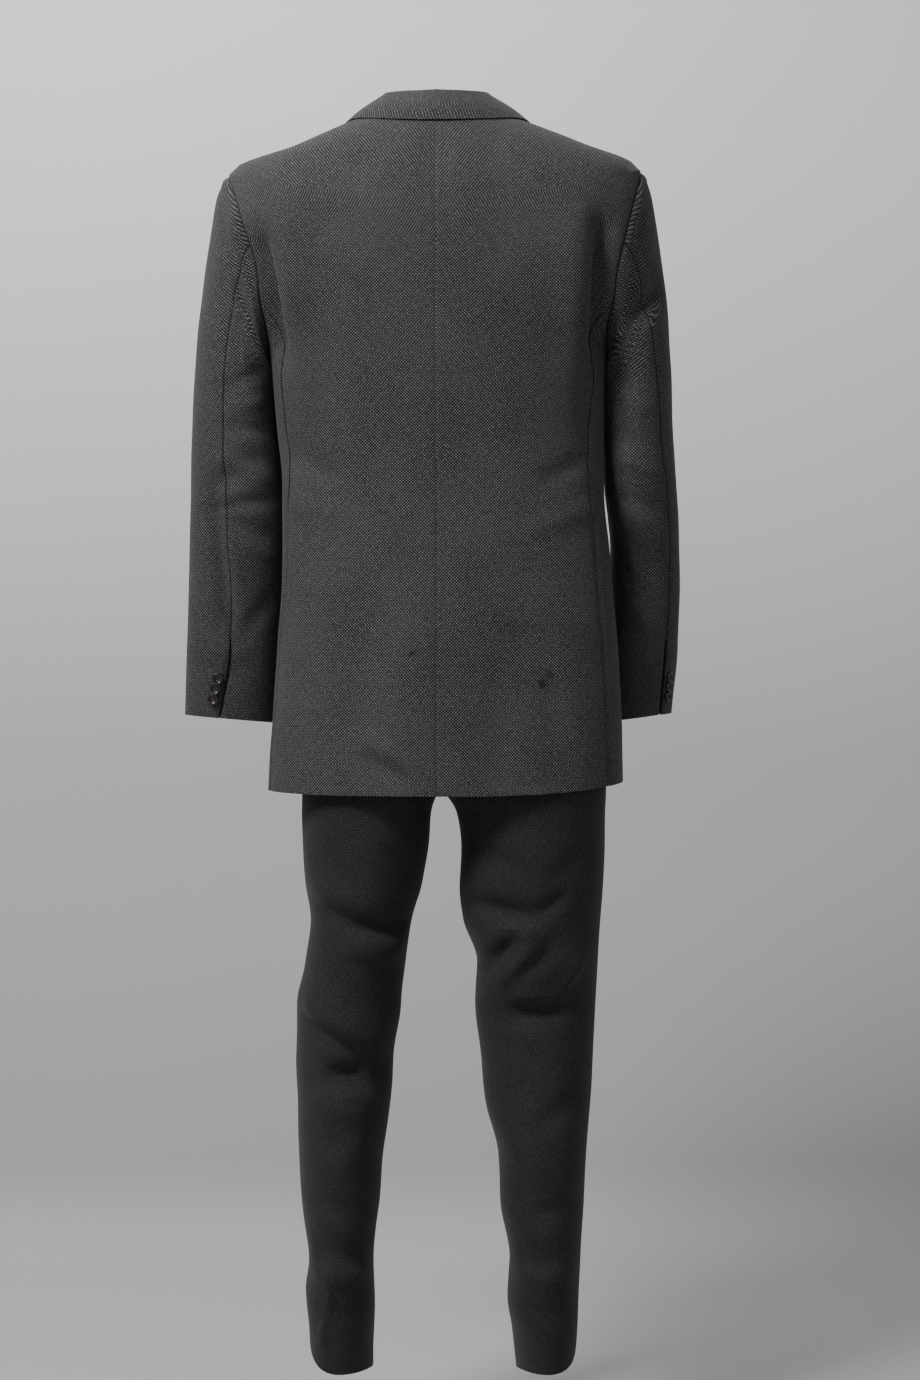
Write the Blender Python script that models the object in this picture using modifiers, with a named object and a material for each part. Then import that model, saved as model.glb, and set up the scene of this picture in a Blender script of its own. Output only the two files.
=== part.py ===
"""A two-piece wool suit in its worn form with nobody in it: a jacket and trousers of thin hollow walls.

The frame is in metres: +X is the wearer's left, +Y the wearer's back, +Z up, and the origin is the
middle of the neck base. The tables are in millimetres and degrees, and each row has a name.

The jacket's body is one surface of rings that run from the neck, over the shoulders, down to the
hem. Back, side, front, lapel, flaps and welt are patches of it, so their seams fit each other.
Each sleeve and each trouser leg is a tube through rings of its own, cut into its panels.
"""

import bpy
import numpy as np
from mathutils import Matrix, Vector

MM = 0.001

# Cloth and seams
WALL = 2.0
THIN_WALL = 1.6
SEAM = 0.3
CLEAR = 0.9
LAPEL_CLEAR = 1.5
UNDER_LAP = WALL + THIN_WALL + 2.5 * CLEAR

# Front buttons, by row and seat
FRONT_BUTTONS = ((7.35, 1.5), (8.55, 0.5))

# Jacket: rows of the ring table at the shoulder point and at the underarm
SHOULDER_ROW = 2.0
UNDERARM_ROW = 5.04
HEM_ROW = 11.0
BACK_COLUMNS = 9
ARMHOLE_BACK = 20.0
ARMHOLE_FRONT = 21.0
SIDE_SEAM_TURN = 120.0
SIDE_FRONT_HEM = 116.0
SIDE_BACK_HEM = {1: 79.0, -1: 71.5}
LAPEL_TOP = 0.70
LAPEL_DROP = 0.80
VENT_TOP_ROW = 8.3
VENT_TUCK = 30.0
VENT_EDGE = 10.0
CORNER_LIFT = 0.7
CORNER_START = 0.6

# Buttons
CUFF_BUTTON = 15.0
FRONT_BUTTON = 20.0
WAIST_BUTTON = 16.0
BUTTON_THICK = 3.2
# How far each button's foot lies off the surface that the cloth's flat faces are cut from
CUFF_SEAT = -0.1
WAIST_SEAT = -0.4
BUTTON_STEPS = 16

# Trousers
CENTRE_X = -4.0
CROTCH_ROW = 5.0
LEG_HEM_ROW = 20.0
LEG_COLUMNS = 10
WAIST_TALL = 38.0
FLY_WIDE = 38.0

# Finishes: colour, roughness, metallic value
JACKET_CLOTH = ((0.040, 0.040, 0.041, 1.0), 0.9, 0.0)
TROUSER_CLOTH = ((0.022, 0.022, 0.023, 1.0), 0.9, 0.0)
HORN_BUTTON = ((0.008, 0.008, 0.009, 1.0), 0.25, 0.0)

# How far up and down the rings are averaged, in rows, and the weight of each
EASE_STEPS = ((-0.8, 1 / 9), (-0.4, 2 / 9), (0.0, 3 / 9), (0.4, 2 / 9), (0.8, 1 / 9))

LEFT, RIGHT = 1, -1
SIDES = {LEFT: "left", RIGHT: "right"}


def table(columns, *rows):
    """A table with named columns. The first entry of each row is its name."""
    values = np.array([row[1:] for row in rows], float)
    return {name: values[:, i] for i, name in enumerate(columns.split())}


BODY = table(
    "side_z right_lift back_z front_z left right back front power front_power edge lapel",
    ("neck seam", 8, 0, -4, -30, 78, 78, 66, 62, 2.2, 2.2, 74, 110),
    ("yoke", -31, 3, -52, -92, 168, 172, 106, 104, 2.3, 2.3, 62, 134),
    ("shoulder", -66, 5, -112, -150, 246, 241, 122, 132, 2.5, 2.5, 54, 150),
    ("blade", -130, 4, -165, -205, 252, 250, 126, 146, 2.6, 2.5, 45, 144),
    ("chest", -202, 2, -216, -250, 236, 234, 124, 153, 2.6, 2.4, 36, 129),
    ("underarm", -276, 0, -278, -300, 200, 202, 118, 154, 2.5, 2.3, 25, 106),
    ("ribs", -350, 0, -350, -362, 192, 199, 110, 150, 2.4, 2.2, 10, 74),
    ("waist", -430, 0, -430, -436, 184, 199, 104, 146, 2.4, 2.15, -12, 26),
    ("seat top", -520, 0, -520, -524, 183, 206, 107, 146, 2.4, 2.1, -18, 0),
    ("hip", -620, 2, -620, -624, 189, 214, 116, 150, 2.4, 2.1, -16, 0),
    ("skirt", -710, 5, -711, -716, 195, 219, 121, 150, 2.4, 2.1, -3, 0),
    ("hem", -794, 10, -799, -806, 200, 221, 124, 148, 2.4, 2.1, 34, 0),
)

SLEEVES = {
    LEFT: table(
        "out_x out_z in_x in_z middle_y back front twist",
        ("armhole", 246, -66, 196, -284, 0, 72, 72, 0),
        ("cap", 260, -88, 198.4, -298, -6, 74, 75, 0),
        ("cap low", 269, -124, 195.2, -316, -16, 75, 75, 0),
        ("upper arm", 276, -162, 193.6, -338, -22, 73, 74, 0),
        ("biceps", 283, -218, 192, -364, -23, 71, 72, 2),
        ("mid arm", 290, -288, 188, -396, -28, 69, 69, 4),
        ("above elbow", 294, -356, 184.5, -432, -34, 67, 66, 4),
        ("elbow", 297, -424, 182, -468, -41, 64, 63, 2),
        ("below elbow", 299, -485, 182, -508, -49, 61, 60, 0),
        ("forearm", 302, -557, 184, -566, -60, 57, 56, -6),
        ("wrist", 305, -628, 188, -632, -72, 52, 51, -8),
        ("cuff", 309, -706, 193, -716, -84, 47, 47, 2),
    ),
    RIGHT: table(
        "out_x out_z in_x in_z middle_y back front twist",
        ("armhole", 241, -62, 196, -284, 0, 72, 72, 0),
        ("cap", 253, -84, 200.9, -298, -8, 74, 75, 2),
        ("cap low", 262, -124, 199.6, -316, -16, 75, 76, 6),
        ("upper arm", 268, -162, 198.9, -338, -22, 75, 76, 10),
        ("biceps", 275, -218, 199.9, -364, -22, 74, 75, 15),
        ("mid arm", 280, -288, 200.2, -396, -26, 72, 72, 19),
        ("above elbow", 283, -356, 201, -432, -32, 69, 69, 22),
        ("elbow", 288, -424, 206, -468, -43, 66, 66, 25),
        ("below elbow", 293, -485, 210, -508, -57, 62, 62, 27),
        ("forearm", 295, -557, 208, -566, -75, 58, 58, 28),
        ("wrist", 294, -628, 202, -634, -93, 54, 54, 28),
        ("cuff", 288, -704, 199, -716, -109, 50, 50, 28),
    ),
}

# Each leg: its outer line, how far its ring has moved out from the seat seam (merge), and its depths
LEGS = table(
    "z left right left_merge right_merge middle_y back front power lift",
    ("waist seam", -534, 152, -172, 0.00, 0.00, -14, 98, 100, 2.3, 0),
    ("hip top", -590, 158, -184, 0.03, 0.03, -10, 104, 102, 2.3, 0),
    ("hip", -650, 161, -194, 0.11, 0.11, -5, 108, 108, 2.3, 0),
    ("seat", -710, 162, -198, 0.25, 0.25, -2, 108, 110, 2.4, 0),
    ("fork", -762, 160, -201, 0.42, 0.42, 0, 104, 112, 2.4, 0),
    ("crotch", -792, 160, -201, 0.50, 0.50, 0, 101, 110, 2.4, 0),
    ("thigh top", -822, 160, -200, 0.535, 0.550, 0, 98, 108, 2.3, 0),
    ("thigh", -860, 159, -199, 0.545, 0.563, 0, 96, 106, 2.2, 0),
    ("mid thigh", -905, 156, -197, 0.567, 0.560, -1, 93, 104, 2.1, 0),
    ("low thigh", -950, 150, -194, 0.610, 0.572, -3, 89, 101, 2.1, 0),
    ("above knee", -1000, 157, -191, 0.630, 0.618, -6, 86, 98, 2.1, 0),
    ("knee", -1050, 167, -189, 0.637, 0.612, -7, 84, 96, 2.0, 0),
    ("below knee", -1110, 167, -186, 0.664, 0.632, -5, 84, 92, 2.0, 0),
    ("calf", -1165, 165, -182, 0.675, 0.650, -2, 84, 88, 2.0, 0),
    ("low calf", -1225, 163, -177, 0.702, 0.698, 2, 82, 85, 2.0, 0),
    ("shin", -1285, 160, -174, 0.722, 0.710, 3, 80, 83, 2.0, 0),
    ("pinch", -1350, 152, -171, 0.756, 0.747, 4, 79, 81, 2.0, 0.1),
    ("ankle", -1395, 156, -169, 0.745, 0.742, 3, 78, 82, 2.0, 0.35),
    ("break", -1424, 155, -168, 0.748, 0.757, 1, 78, 83, 2.0, 0.6),
    ("turn-in", -1448, 153, -167, 0.752, 0.768, 0, 77, 83, 2.0, 0.8),
    ("hem", -1470, 152, -166, 0.754, 0.778, -1, 76, 83, 2.0, 1.0),
)

# How far the trouser hem rises or drops at its outer, inner and front lines
HEM_RISE = table("outer inner front", ("left", 37, -7, 14), ("right", 22, -9, 14))

# Soft folds: from one end to the other as seen from the back or the front, with width and height.
# A trough has a negative height. The far side of the cloth isn't moved by them.
BODY_FOLDS = table(
    "facing x1 z1 x2 z2 wide high",
    ("left blade trough", 1, 206, -150, 180, -285, 15, -9),
    ("left blade ridge", 1, 176, -130, 158, -330, 22, 5),
    ("right blade trough", 1, -190, -135, -188, -300, 15, -8),
    ("right blade ridge", 1, -160, -120, -164, -330, 24, 5),
    ("left hem swing", 1, 85, -560, 95, -790, 38, -5),
    ("right hem swing", 1, -90, -600, -70, -790, 40, -4),
    ("nape hollow", 1, -20, -60, 20, -60, 30, -3),
    ("left chest trough", -1, 196, -150, 176, -280, 16, -7),
    ("right chest trough", -1, -196, -150, -176, -280, 16, -7),
    ("left button drag", -1, 10, -470, 120, -430, 16, -4),
    ("right button drag", -1, -30, -470, -120, -430, 16, -4),
)

SLEEVE_FOLDS = {
    LEFT: table(
        "facing x1 z1 x2 z2 wide high",
        ("cap dent", 1, 236, -150, 232, -260, 14, -5),
        ("back trough", 1, 270, -420, 246, -600, 18, -5),
        ("elbow fold", 1, 205, -400, 270, -440, 16, -4),
        ("low elbow fold", 1, 200, -500, 262, -470, 14, -4),
        ("front elbow fold", -1, 200, -410, 280, -440, 16, -6),
        ("front elbow fold low", -1, 205, -480, 275, -455, 14, -5),
    ),
    RIGHT: table(
        "facing x1 z1 x2 z2 wide high",
        ("cap crease", 1, -230, -245, -272, -192, 11, -8),
        ("elbow fold", 1, -212, -300, -222, -376, 14, -5),
        ("forearm fold", 1, -214, -485, -262, -545, 14, -5),
        ("forearm ridge", 1, -222, -450, -268, -505, 13, 4),
        ("front elbow fold", -1, -210, -410, -275, -440, 16, -6),
        ("front elbow fold low", -1, -214, -480, -272, -455, 14, -5),
    ),
}

LEG_FOLDS = {
    LEFT: table(
        "facing x1 z1 x2 z2 wide high",
        ("seat fold", 1, 96, -950, 32, -957, 13, -9),
        ("seat fold lip", 1, 104, -976, 34, -982, 13, 6),
        ("knee ridge", 1, 150, -1030, 62, -1082, 20, 6),
        ("knee pocket", 1, 128, -1128, 76, -1128, 20, -9),
        ("knee pocket lip", 1, 128, -1156, 72, -1162, 18, 5),
        ("ankle pinch", 1, 146, -1330, 84, -1336, 16, -6),
        ("front knee fold", -1, 140, -1060, 70, -1090, 20, -6),
        ("front break", -1, 140, -1395, 86, -1405, 16, -8),
        ("front thigh drag", -1, 120, -880, 50, -960, 18, -4),
    ),
    RIGHT: table(
        "facing x1 z1 x2 z2 wide high",
        ("seat fold", 1, -34, -925, -116, -944, 15, -9),
        ("seat fold lip", 1, -60, -962, -118, -950, 14, 6),
        ("thigh ridge", 1, -118, -955, -66, -1018, 15, 6),
        ("knee ridge", 1, -86, -1026, -166, -980, 17, 5),
        ("knee hollow", 1, -70, -1060, -150, -1040, 20, -5),
        ("ankle pinch", 1, -92, -1332, -140, -1338, 16, -5),
        ("front knee fold", -1, -150, -1060, -80, -1090, 20, -6),
        ("front break", -1, -160, -1395, -100, -1405, 16, -8),
        ("front thigh drag", -1, -150, -880, -60, -960, 18, -4),
    ),
}

# Collar: where its fold runs, round from the middle of the back, and how far its fall reaches
COLLAR = table(
    "turn neck_row stand lean mid_row fall_row mid_back fall_back",
    ("centre back", 0, 0, 29, 9, 0.14, 0.26, 0, 0),
    ("back", 30, 0, 27, 10, 0.15, 0.27, 0, 0),
    ("back of side", 60, 0, 24, 13, 0.16, 0.28, 0, 0),
    ("side", 90, 0, 22, 15, 0.18, 0.34, 0, 0),
    ("front of side", 108, 0.02, 15, 9, 0.29, 0.52, 0, 1),
    ("neck front", 124, 0.26, 10, 4, 0.62, 0.80, 1, 6),
    ("gorge", 140, 0.56, 8, 2, 1.05, 0.93, 5.5, 14),
)
COLLAR_PROFILE = (0.0, 0.2, 0.40, 0.47, 0.54, 0.61, 0.80, 1.0)
COLLAR_STEPS = 26
FOLD_ROUND = 4.5


def slopes_of(values):
    """A slope at each value, flat where the values turn, so that no curve runs past them."""
    steps = np.diff(values)
    before = np.append(steps[0], steps)
    after = np.append(steps, steps[-1])
    same_way = before * after > 0
    total = np.where(same_way, before + after, 1.0)
    return np.where(same_way, 2 * before * after / total, 0.0)


def along(columns, name, row):
    """The smooth value of a column at any row, by cubic curves through the table's rows."""
    values = columns[name]
    last = len(values) - 1
    slopes = slopes_of(values)
    row = np.clip(row, 0, last)
    low = np.minimum(np.floor(row).astype(int), last - 1)
    t = row - low
    start, end = values[low], values[low + 1]
    ease = t * t * (3 - 2 * t)
    pull = t * (1 - t) ** 2 * slopes[low] - t * t * (1 - t) * slopes[low + 1]
    return start + (end - start) * ease + pull


def smooth_step(t):
    t = np.clip(t, 0, 1)
    return t * t * (3 - 2 * t)


def unit(vectors):
    return vectors / np.linalg.norm(vectors, axis=-1, keepdims=True)


def points(x, y, z):
    return np.stack(np.broadcast_arrays(x, y, z), axis=-1).astype(float)


def normals(surface, u, v, hand=1, step_u=0.4, step_v=0.01):
    """The outward direction of a surface. Hand is 1 where its first parameter grows to +X at the back."""
    across = surface(u + step_u, v) - surface(u - step_u, v)
    down = surface(u, v + step_v) - surface(u, v - step_v)
    return hand * unit(np.cross(across, down))


def fold_height(folds, place, outward):
    """The sum of the soft troughs and ridges at each place, faded out where the cloth turns away."""
    total = np.zeros(place.shape[:-1])
    seen = place[..., [0, 2]]
    for facing, x1, z1, x2, z2, wide, high in zip(*folds.values()):
        start = np.array([x1, z1])
        run = np.array([x2, z2]) - start
        t = np.clip(((seen - start) @ run) / (run @ run), 0, 1)
        away = np.linalg.norm(seen - start - t[..., None] * run, axis=-1)
        faces = smooth_step((facing * outward[..., 1] - 0.1) / 0.5)
        fade = 0.35 + 0.65 * np.sin(np.pi * t) ** 0.5
        total += high * np.exp(-((away / wide) ** 2)) * faces * fade
    return total


def folded(surface, folds, hand=1):
    """The same surface with its folds."""

    def with_folds(u, v):
        place = surface(u, v)
        out = normals(surface, u, v, hand)
        return place + out * fold_height(folds, place, out)[..., None]

    return with_folds


def ring_reach(turn, half_right, half_left, back, front, power):
    """How far a ring reaches from its middle at each turn. Turn 0 is the back and 90 the left."""
    s, c = np.sin(np.radians(turn)), np.cos(np.radians(turn))
    wide = np.where(s > 0, half_left, half_right)
    deep = np.where(c > 0, back, front)
    return (np.abs(s / wide) ** power + np.abs(c / deep) ** power) ** (-1 / power)


# Jacket body


def body_ring(turn, row):
    """A point of the jacket body's rings, before the cloth between them is eased."""
    column = {name: along(BODY, name, row) for name in BODY}
    s, c = np.sin(np.radians(turn)), np.cos(np.radians(turn))
    power = np.where(c > 0, column["power"], column["front_power"])
    reach = ring_reach(turn, column["right"], column["left"], column["back"], column["front"], power)
    side_z = column["side_z"] + column["right_lift"] * smooth_step(-s)
    middle_z = np.where(c > 0, column["back_z"], column["front_z"])
    deep = np.where(c > 0, column["back"], column["front"])
    below = np.maximum(row - HEM_ROW, 0) * -80
    above = np.maximum(-row, 0) * 30
    z = side_z + (middle_z - side_z) * (reach * c / deep) ** 2 + below + above
    return points(reach * s, reach * c, z)


def body_rest(turn, row):
    """The body's rings, eased into each other away from the shoulder line, the armholes and the neck."""
    turn, row = np.broadcast_arrays(np.asarray(turn, float), np.asarray(row, float))
    beside = np.abs((turn + 180) % 360 - 180)
    ease = smooth_step((80 - np.minimum(beside, 180 - beside)) / 45) * smooth_step(row / 0.8)
    eased_rings = sum(weight * body_ring(turn, row + step) for step, weight in EASE_STEPS)
    exact = body_ring(turn, row)
    return exact + (eased_rings - exact) * ease[..., None]


body_point = folded(body_rest, BODY_FOLDS)


def front_turn(row, x, side):
    """The turn on the front where the ring is at x, measured from the centre front to this side."""
    half = np.where(x > 0, along(BODY, SIDES[side], row), along(BODY, SIDES[-side], row))
    power = along(BODY, "front_power", row)
    deep = along(BODY, "front", row) * (1 - np.abs(x / half) ** power) ** (1 / power)
    return 180 - np.degrees(np.arctan2(x, deep))


def armhole_row(swing):
    """The row of the armhole at each swing round it: 0 at the shoulder point, 180 under the arm."""
    middle = (SHOULDER_ROW + UNDERARM_ROW) / 2
    half = (UNDERARM_ROW - SHOULDER_ROW) / 2
    return middle - half * np.cos(np.radians(swing))


def armhole_turn(swing):
    """The turn round the body of the armhole: its back half is before 90 and its front half after."""
    s = np.sin(np.radians(swing))
    return 90 - np.where(s > 0, ARMHOLE_BACK, ARMHOLE_FRONT) * s


BACK_SWINGS = np.arange(0, SIDE_SEAM_TURN + 1, 20.0)
JUNCTION_ROW = float(armhole_row(SIDE_SEAM_TURN))
LOW_ROWS = np.array([4.8, 5.4, 6.0, 6.6, 7.2, 7.8, 8.3, 8.7, 9.2, 9.8, 10.4, 11.0])
BODY_ROWS = np.concatenate([[0, 0.5, 1.0, 1.5], armhole_row(BACK_SWINGS), LOW_ROWS])
ARMHOLE_ROWS = slice(4, 4 + len(BACK_SWINGS))


def fanned_rows(share):
    """The row of each grid point of a panel: the armhole's own rows at its edge, even ones away from it."""
    even = BODY_ROWS.copy()
    even[ARMHOLE_ROWS] = np.linspace(SHOULDER_ROW, JUNCTION_ROW, len(BACK_SWINGS))
    return BODY_ROWS[:, None] + (even - BODY_ROWS)[:, None] * (1 - share) ** 1.5


def outer_turn(side, front):
    """For each body row, the turn of a panel's outer edge: shoulder seam, armhole, then side seam."""
    sign = -1 if front else 1
    hem = SIDE_FRONT_HEM if front else SIDE_BACK_HEM[side]
    armhole = armhole_turn(sign * BACK_SWINGS)
    down = smooth_step((LOW_ROWS - JUNCTION_ROW) / (HEM_ROW - JUNCTION_ROW))
    seam = armhole[-1] + (hem - armhole[-1]) * down
    return np.concatenate([np.full(4, 90.0), armhole, seam])


def on_side(side):
    """The jacket body as a surface whose turn is measured towards this side."""

    def surface(turn, row):
        return body_point(side * np.asarray(turn), row)

    return surface


# Sleeves


def sleeve_rest(side):
    """A tube from the armhole to the cuff. Swing 0 is its outer line, 90 its back, 180 its inner line."""
    rings = SLEEVES[side]

    def ring(swing, row):
        column = {name: along(rings, name, row) for name in rings}
        turned = np.radians(swing - column["twist"])
        c, s = np.cos(turned), np.sin(turned)
        deep = np.where(s > 0, column["back"], column["front"])
        reach = (np.abs(c) ** 2.2 + np.abs(s) ** 2.2) ** (-1 / 2.2)
        out, inn = column["out_x"], column["in_x"]
        x = (out + inn) / 2 + (out - inn) / 2 * reach * c
        z = (column["out_z"] + column["in_z"]) / 2 + (column["out_z"] - column["in_z"]) / 2 * reach * c
        y = column["middle_y"] + deep * reach * s
        below = np.maximum(row - 11, 0) * -75
        return points(side * x, y, z + below)

    def surface(swing, row):
        swing, row = np.broadcast_arrays(np.asarray(swing, float), np.asarray(row, float))
        armhole = on_side(side)(armhole_turn(swing), armhole_row(swing))
        start = np.zeros_like(row)
        pull = smooth_step(1 - np.maximum(row, 0) / 2.5)
        return ring(swing, row) + (armhole - ring(swing, start)) * pull[..., None]

    return surface


SLEEVE_ROWS = np.array([0, 0.5, 1, 1.6, 2.3, 3, 3.7, 4.4, 5.1, 5.8, 6.5, 7.2, 7.9, 8.6, 9.3, 10, 10.5, 11])
BACK_SLEEVE_SEAM = 80.0
FRONT_SLEEVE_SEAM = 240.0


def sleeve_surface(side):
    return folded(sleeve_rest(side), SLEEVE_FOLDS[side], -side)


def mitre(side, swing):
    """The armhole's joint: the shared direction through body and sleeve, and the step between them."""
    body = on_side(side)
    across = normals(body, armhole_turn(swing), armhole_row(swing), side)
    sleeve = sleeve_surface(side)
    down = normals(sleeve, swing, np.full_like(swing, 0.06), -side, 2.0, 0.05)
    shared = unit(across + down)
    lean = np.sum(shared * across, axis=-1, keepdims=True)
    start = body(armhole_turn(swing - 1), armhole_row(swing - 1))
    run = body(armhole_turn(swing + 1), armhole_row(swing + 1)) - start
    apart = side * unit(np.cross(run, shared)) * (1 - lean) * SEAM / 2
    return shared / np.maximum(lean, 0.5), apart


# Trousers


def leg_rest(side):
    """A leg as a ring for each row. Turn 0 is its back, 90 its outer line and -90 its inner line."""
    name = SIDES[side]
    rise = {key: value[0 if side == LEFT else 1] for key, value in HEM_RISE.items()}

    def surface(turn, row):
        turn, row = np.broadcast_arrays(np.asarray(turn, float), np.asarray(row, float))
        column = {key: along(LEGS, key, row) for key in LEGS}
        span = side * (column[name] - CENTRE_X)
        half = (1 - column[name + "_merge"]) * span
        middle = column[name + "_merge"] * span
        reach = ring_reach(turn, half, half, column["back"], column["front"], column["power"])
        s, c = np.sin(np.radians(turn)), np.cos(np.radians(turn))
        x = CENTRE_X + side * (middle + reach * s + SEAM / 2)
        lift = rise["outer"] * np.maximum(s, 0) ** 2 + rise["inner"] * np.minimum(s, 0) ** 2
        lift = lift + rise["front"] * np.minimum(c, 0) ** 2
        below = np.maximum(row - LEG_HEM_ROW, 0) * -30 + np.maximum(-row, 0) * 50
        return points(x, column["middle_y"] + reach * c, column["z"] + lift * column["lift"] + below)

    return surface


def rise_turn(row, front):
    """The turn where a leg's ring meets the seat seam, or its inner line below the crotch."""
    merge = along(LEGS, "left_merge", row)
    ratio = np.clip(merge / (1 - merge), 0, 1)
    deep = along(LEGS, "front" if front else "back", row)
    half = (1 - merge) * (along(LEGS, "left", row) - CENTRE_X)
    power = along(LEGS, "power", row)
    turn = np.degrees(np.arctan2(ratio * half, deep * (1 - ratio**power) ** (1 / power)))
    return np.where(np.asarray(row) >= CROTCH_ROW, 90.0, turn)


LEG_ROWS = np.concatenate([[0, 1, 2, 3, 3.5, 4, 4.5], np.arange(5, 21)])


# Solids


def cloth_material(name, finish):
    colour, roughness, metallic = finish
    material = bpy.data.materials.new(name)
    material.use_nodes = True
    shader = material.node_tree.nodes["Principled BSDF"]
    shader.inputs["Base Color"].default_value = colour
    shader.inputs["Roughness"].default_value = roughness
    shader.inputs["Metallic"].default_value = metallic
    return material


def part_from(name, mesh, finish):
    material = cloth_material(name + "_finish", finish)
    mesh.materials.append(material)
    mesh.shade_smooth()
    mesh.set_sharp_from_angle(angle=np.radians(40))
    piece = bpy.data.objects.new(name, mesh)
    bpy.data.collections["suit"].objects.link(piece)
    return piece


def eased(grid, by):
    """The grid with its edges drawn in along the cloth, which leaves the gap of a seam."""
    grid = grid.copy()
    for edge, inner in ((0, 1), (-1, -2)):
        grid[edge] += unit(grid[inner] - grid[edge]) * by
        grid[:, edge] += unit(grid[:, inner] - grid[:, edge]) * by
    return grid


def grid_faces(number, place):
    """Two triangles for each square of a grid, split along its shorter diagonal."""
    a, b, c, d = number[:-1, :-1], number[1:, :-1], number[1:, 1:], number[:-1, 1:]
    pa, pb, pc, pd = place[:-1, :-1], place[1:, :-1], place[1:, 1:], place[:-1, 1:]
    short = np.linalg.norm(pa - pc, axis=-1) <= np.linalg.norm(pb - pd, axis=-1)
    first = np.stack([a, b, np.where(short, c, d)], -1)
    second = np.stack([np.where(short, a, b), c, d], -1)
    return np.concatenate([first.reshape(-1, 3), second.reshape(-1, 3)])


def rim_faces(rim, height, inwards):
    """The strip through the cloth at an edge, split from each higher outer point, as its neighbour is."""
    start, end = rim[:-1], rim[1:]
    falls = height[start] >= height[end]
    first = np.stack([start, end, np.where(falls, end, start) + inwards], -1)
    second = np.stack([np.where(falls, start, end), end + inwards, start + inwards], -1)
    return np.concatenate([first, second])


def wall(name, outer, through, thick, finish):
    """A closed wall: the outer grid of points, and the same grid moved inwards by the thickness."""
    inner = outer - through * thick
    rows, columns = outer.shape[:2]
    number = np.arange(rows * columns).reshape(rows, columns)
    back = number + rows * columns
    corners = np.concatenate([outer.reshape(-1, 3), inner.reshape(-1, 3)])
    faces = [grid_faces(number, outer), grid_faces(back, outer)[:, ::-1]]
    for rim in (number[0], number[:, -1], number[-1, ::-1], number[::-1, 0]):
        faces.append(rim_faces(rim, corners[:, 2], rows * columns))
    faces = np.concatenate(faces)
    a, b, c = (corners[faces[:, i]] for i in range(3))
    if np.sum(np.cross(b - a, c - a) * a) < 0:
        faces = faces[:, ::-1]
    mesh = bpy.data.meshes.new(name)
    mesh.from_pydata((corners * MM).tolist(), [], faces.tolist())
    return part_from(name, mesh, finish)


def spread(start, end, steps):
    """A grid of values from each row's start to its end."""
    share = np.linspace(0, 1, steps + 1)
    return start[:, None] + (end - start)[:, None] * share


def build_back(side):
    rows = BODY_ROWS
    turn = spread(np.zeros(len(rows)), outer_turn(side, False), BACK_COLUMNS)
    row = fanned_rows(np.linspace(0, 1, BACK_COLUMNS + 1))
    surface = on_side(side)
    through = normals(surface, turn, row, side)
    through[ARMHOLE_ROWS, -1], apart = mitre(side, BACK_SWINGS)
    place = eased(surface(turn, row), SEAM / 2)
    place[ARMHOLE_ROWS, -1] -= apart
    wall(f"jacket_back_{SIDES[side]}", place, through, WALL, JACKET_CLOTH)


def side_grid(side):
    """The turns and rows of a side body between its seams, with the armhole along its top."""
    swings = np.arange(SIDE_SEAM_TURN, 360 - SIDE_SEAM_TURN + 1, 20.0)
    edge_rows = np.concatenate([[JUNCTION_ROW], LOW_ROWS])
    dip = armhole_row(swings) - JUNCTION_ROW
    fade = np.interp(edge_rows, [JUNCTION_ROW, 6.2], [1, 0]) ** 1.4
    row = edge_rows[:, None] + dip * fade[:, None]
    rear = outer_turn(side, False)[-len(edge_rows):]
    fore = outer_turn(side, True)[-len(edge_rows):]
    across = (armhole_turn(swings) - rear[0]) / (fore[0] - rear[0])
    return swings, rear[:, None] + (fore - rear)[:, None] * across, row


def build_side(side):
    """The side body. Below the top of the vent it goes on under the edge of the back panel."""
    surface = on_side(side)
    swings, turn, row = side_grid(side)
    top = surface(turn[0], row[0])
    top_through, apart = mitre(side, swings)

    # Three columns at the seam: side by side above the vent, the first two sunk and tucked below it
    rear, rows = turn[:, 0], row[:, 0]
    degree = np.degrees(1 / along(BODY, SIDES[side], rows))
    tucked = smooth_step((rows - VENT_TOP_ROW + 0.5) / 0.5) * VENT_TUCK
    sunk = smooth_step((rows - VENT_TOP_ROW + 1.1) / 0.6) * (WALL + CLEAR)
    extra = rear[:, None] + degree[:, None] * np.stack([-tucked, 3 + 0 * rows, VENT_EDGE + 0 * rows], 1)
    share = np.clip((extra - rear[:, None]) / (turn[:, 1] - rear)[:, None], 0, 1)
    extra_row = rows[:, None] + (row[:, 1] - rows)[:, None] * share
    turn = np.concatenate([extra, turn[:, 1:]], axis=1)
    row = np.concatenate([extra_row, row[:, 1:]], axis=1)
    through = normals(surface, turn, row, side)
    place = surface(turn, row)
    place[:, :2] -= through[:, :2] * sunk[:, None, None]
    place[0, 1:3] = top[0] + (top[1] - top[0]) * share[0, 1:, None]
    through[0, 3:] = top_through[1:]
    through[0, :3] = top_through[0] + (top_through[1] - top_through[0]) * share[0, :, None]
    place = eased(place, SEAM / 2)
    place[0, 3:] -= apart[1:]
    place[0, :3] -= apart[0] + (apart[1] - apart[0]) * share[0, :, None]
    wall(f"jacket_side_{SIDES[side]}", place, through, WALL, JACKET_CLOTH)


def front_edge_turn(rows, side):
    return front_turn(rows, along(BODY, "edge", rows), side)


def under_lap(surface, side):
    """The right front passes under the left one near the centre front."""

    def lowered(turn, row):
        place = surface(turn, row)
        out = normals(surface, turn, row, side)
        past = smooth_step((64 - side * place[..., 0]) / 38) * smooth_step((np.asarray(row) - 4.6) / 1.4)
        return place - out * (past * UNDER_LAP)[..., None]

    return lowered


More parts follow.
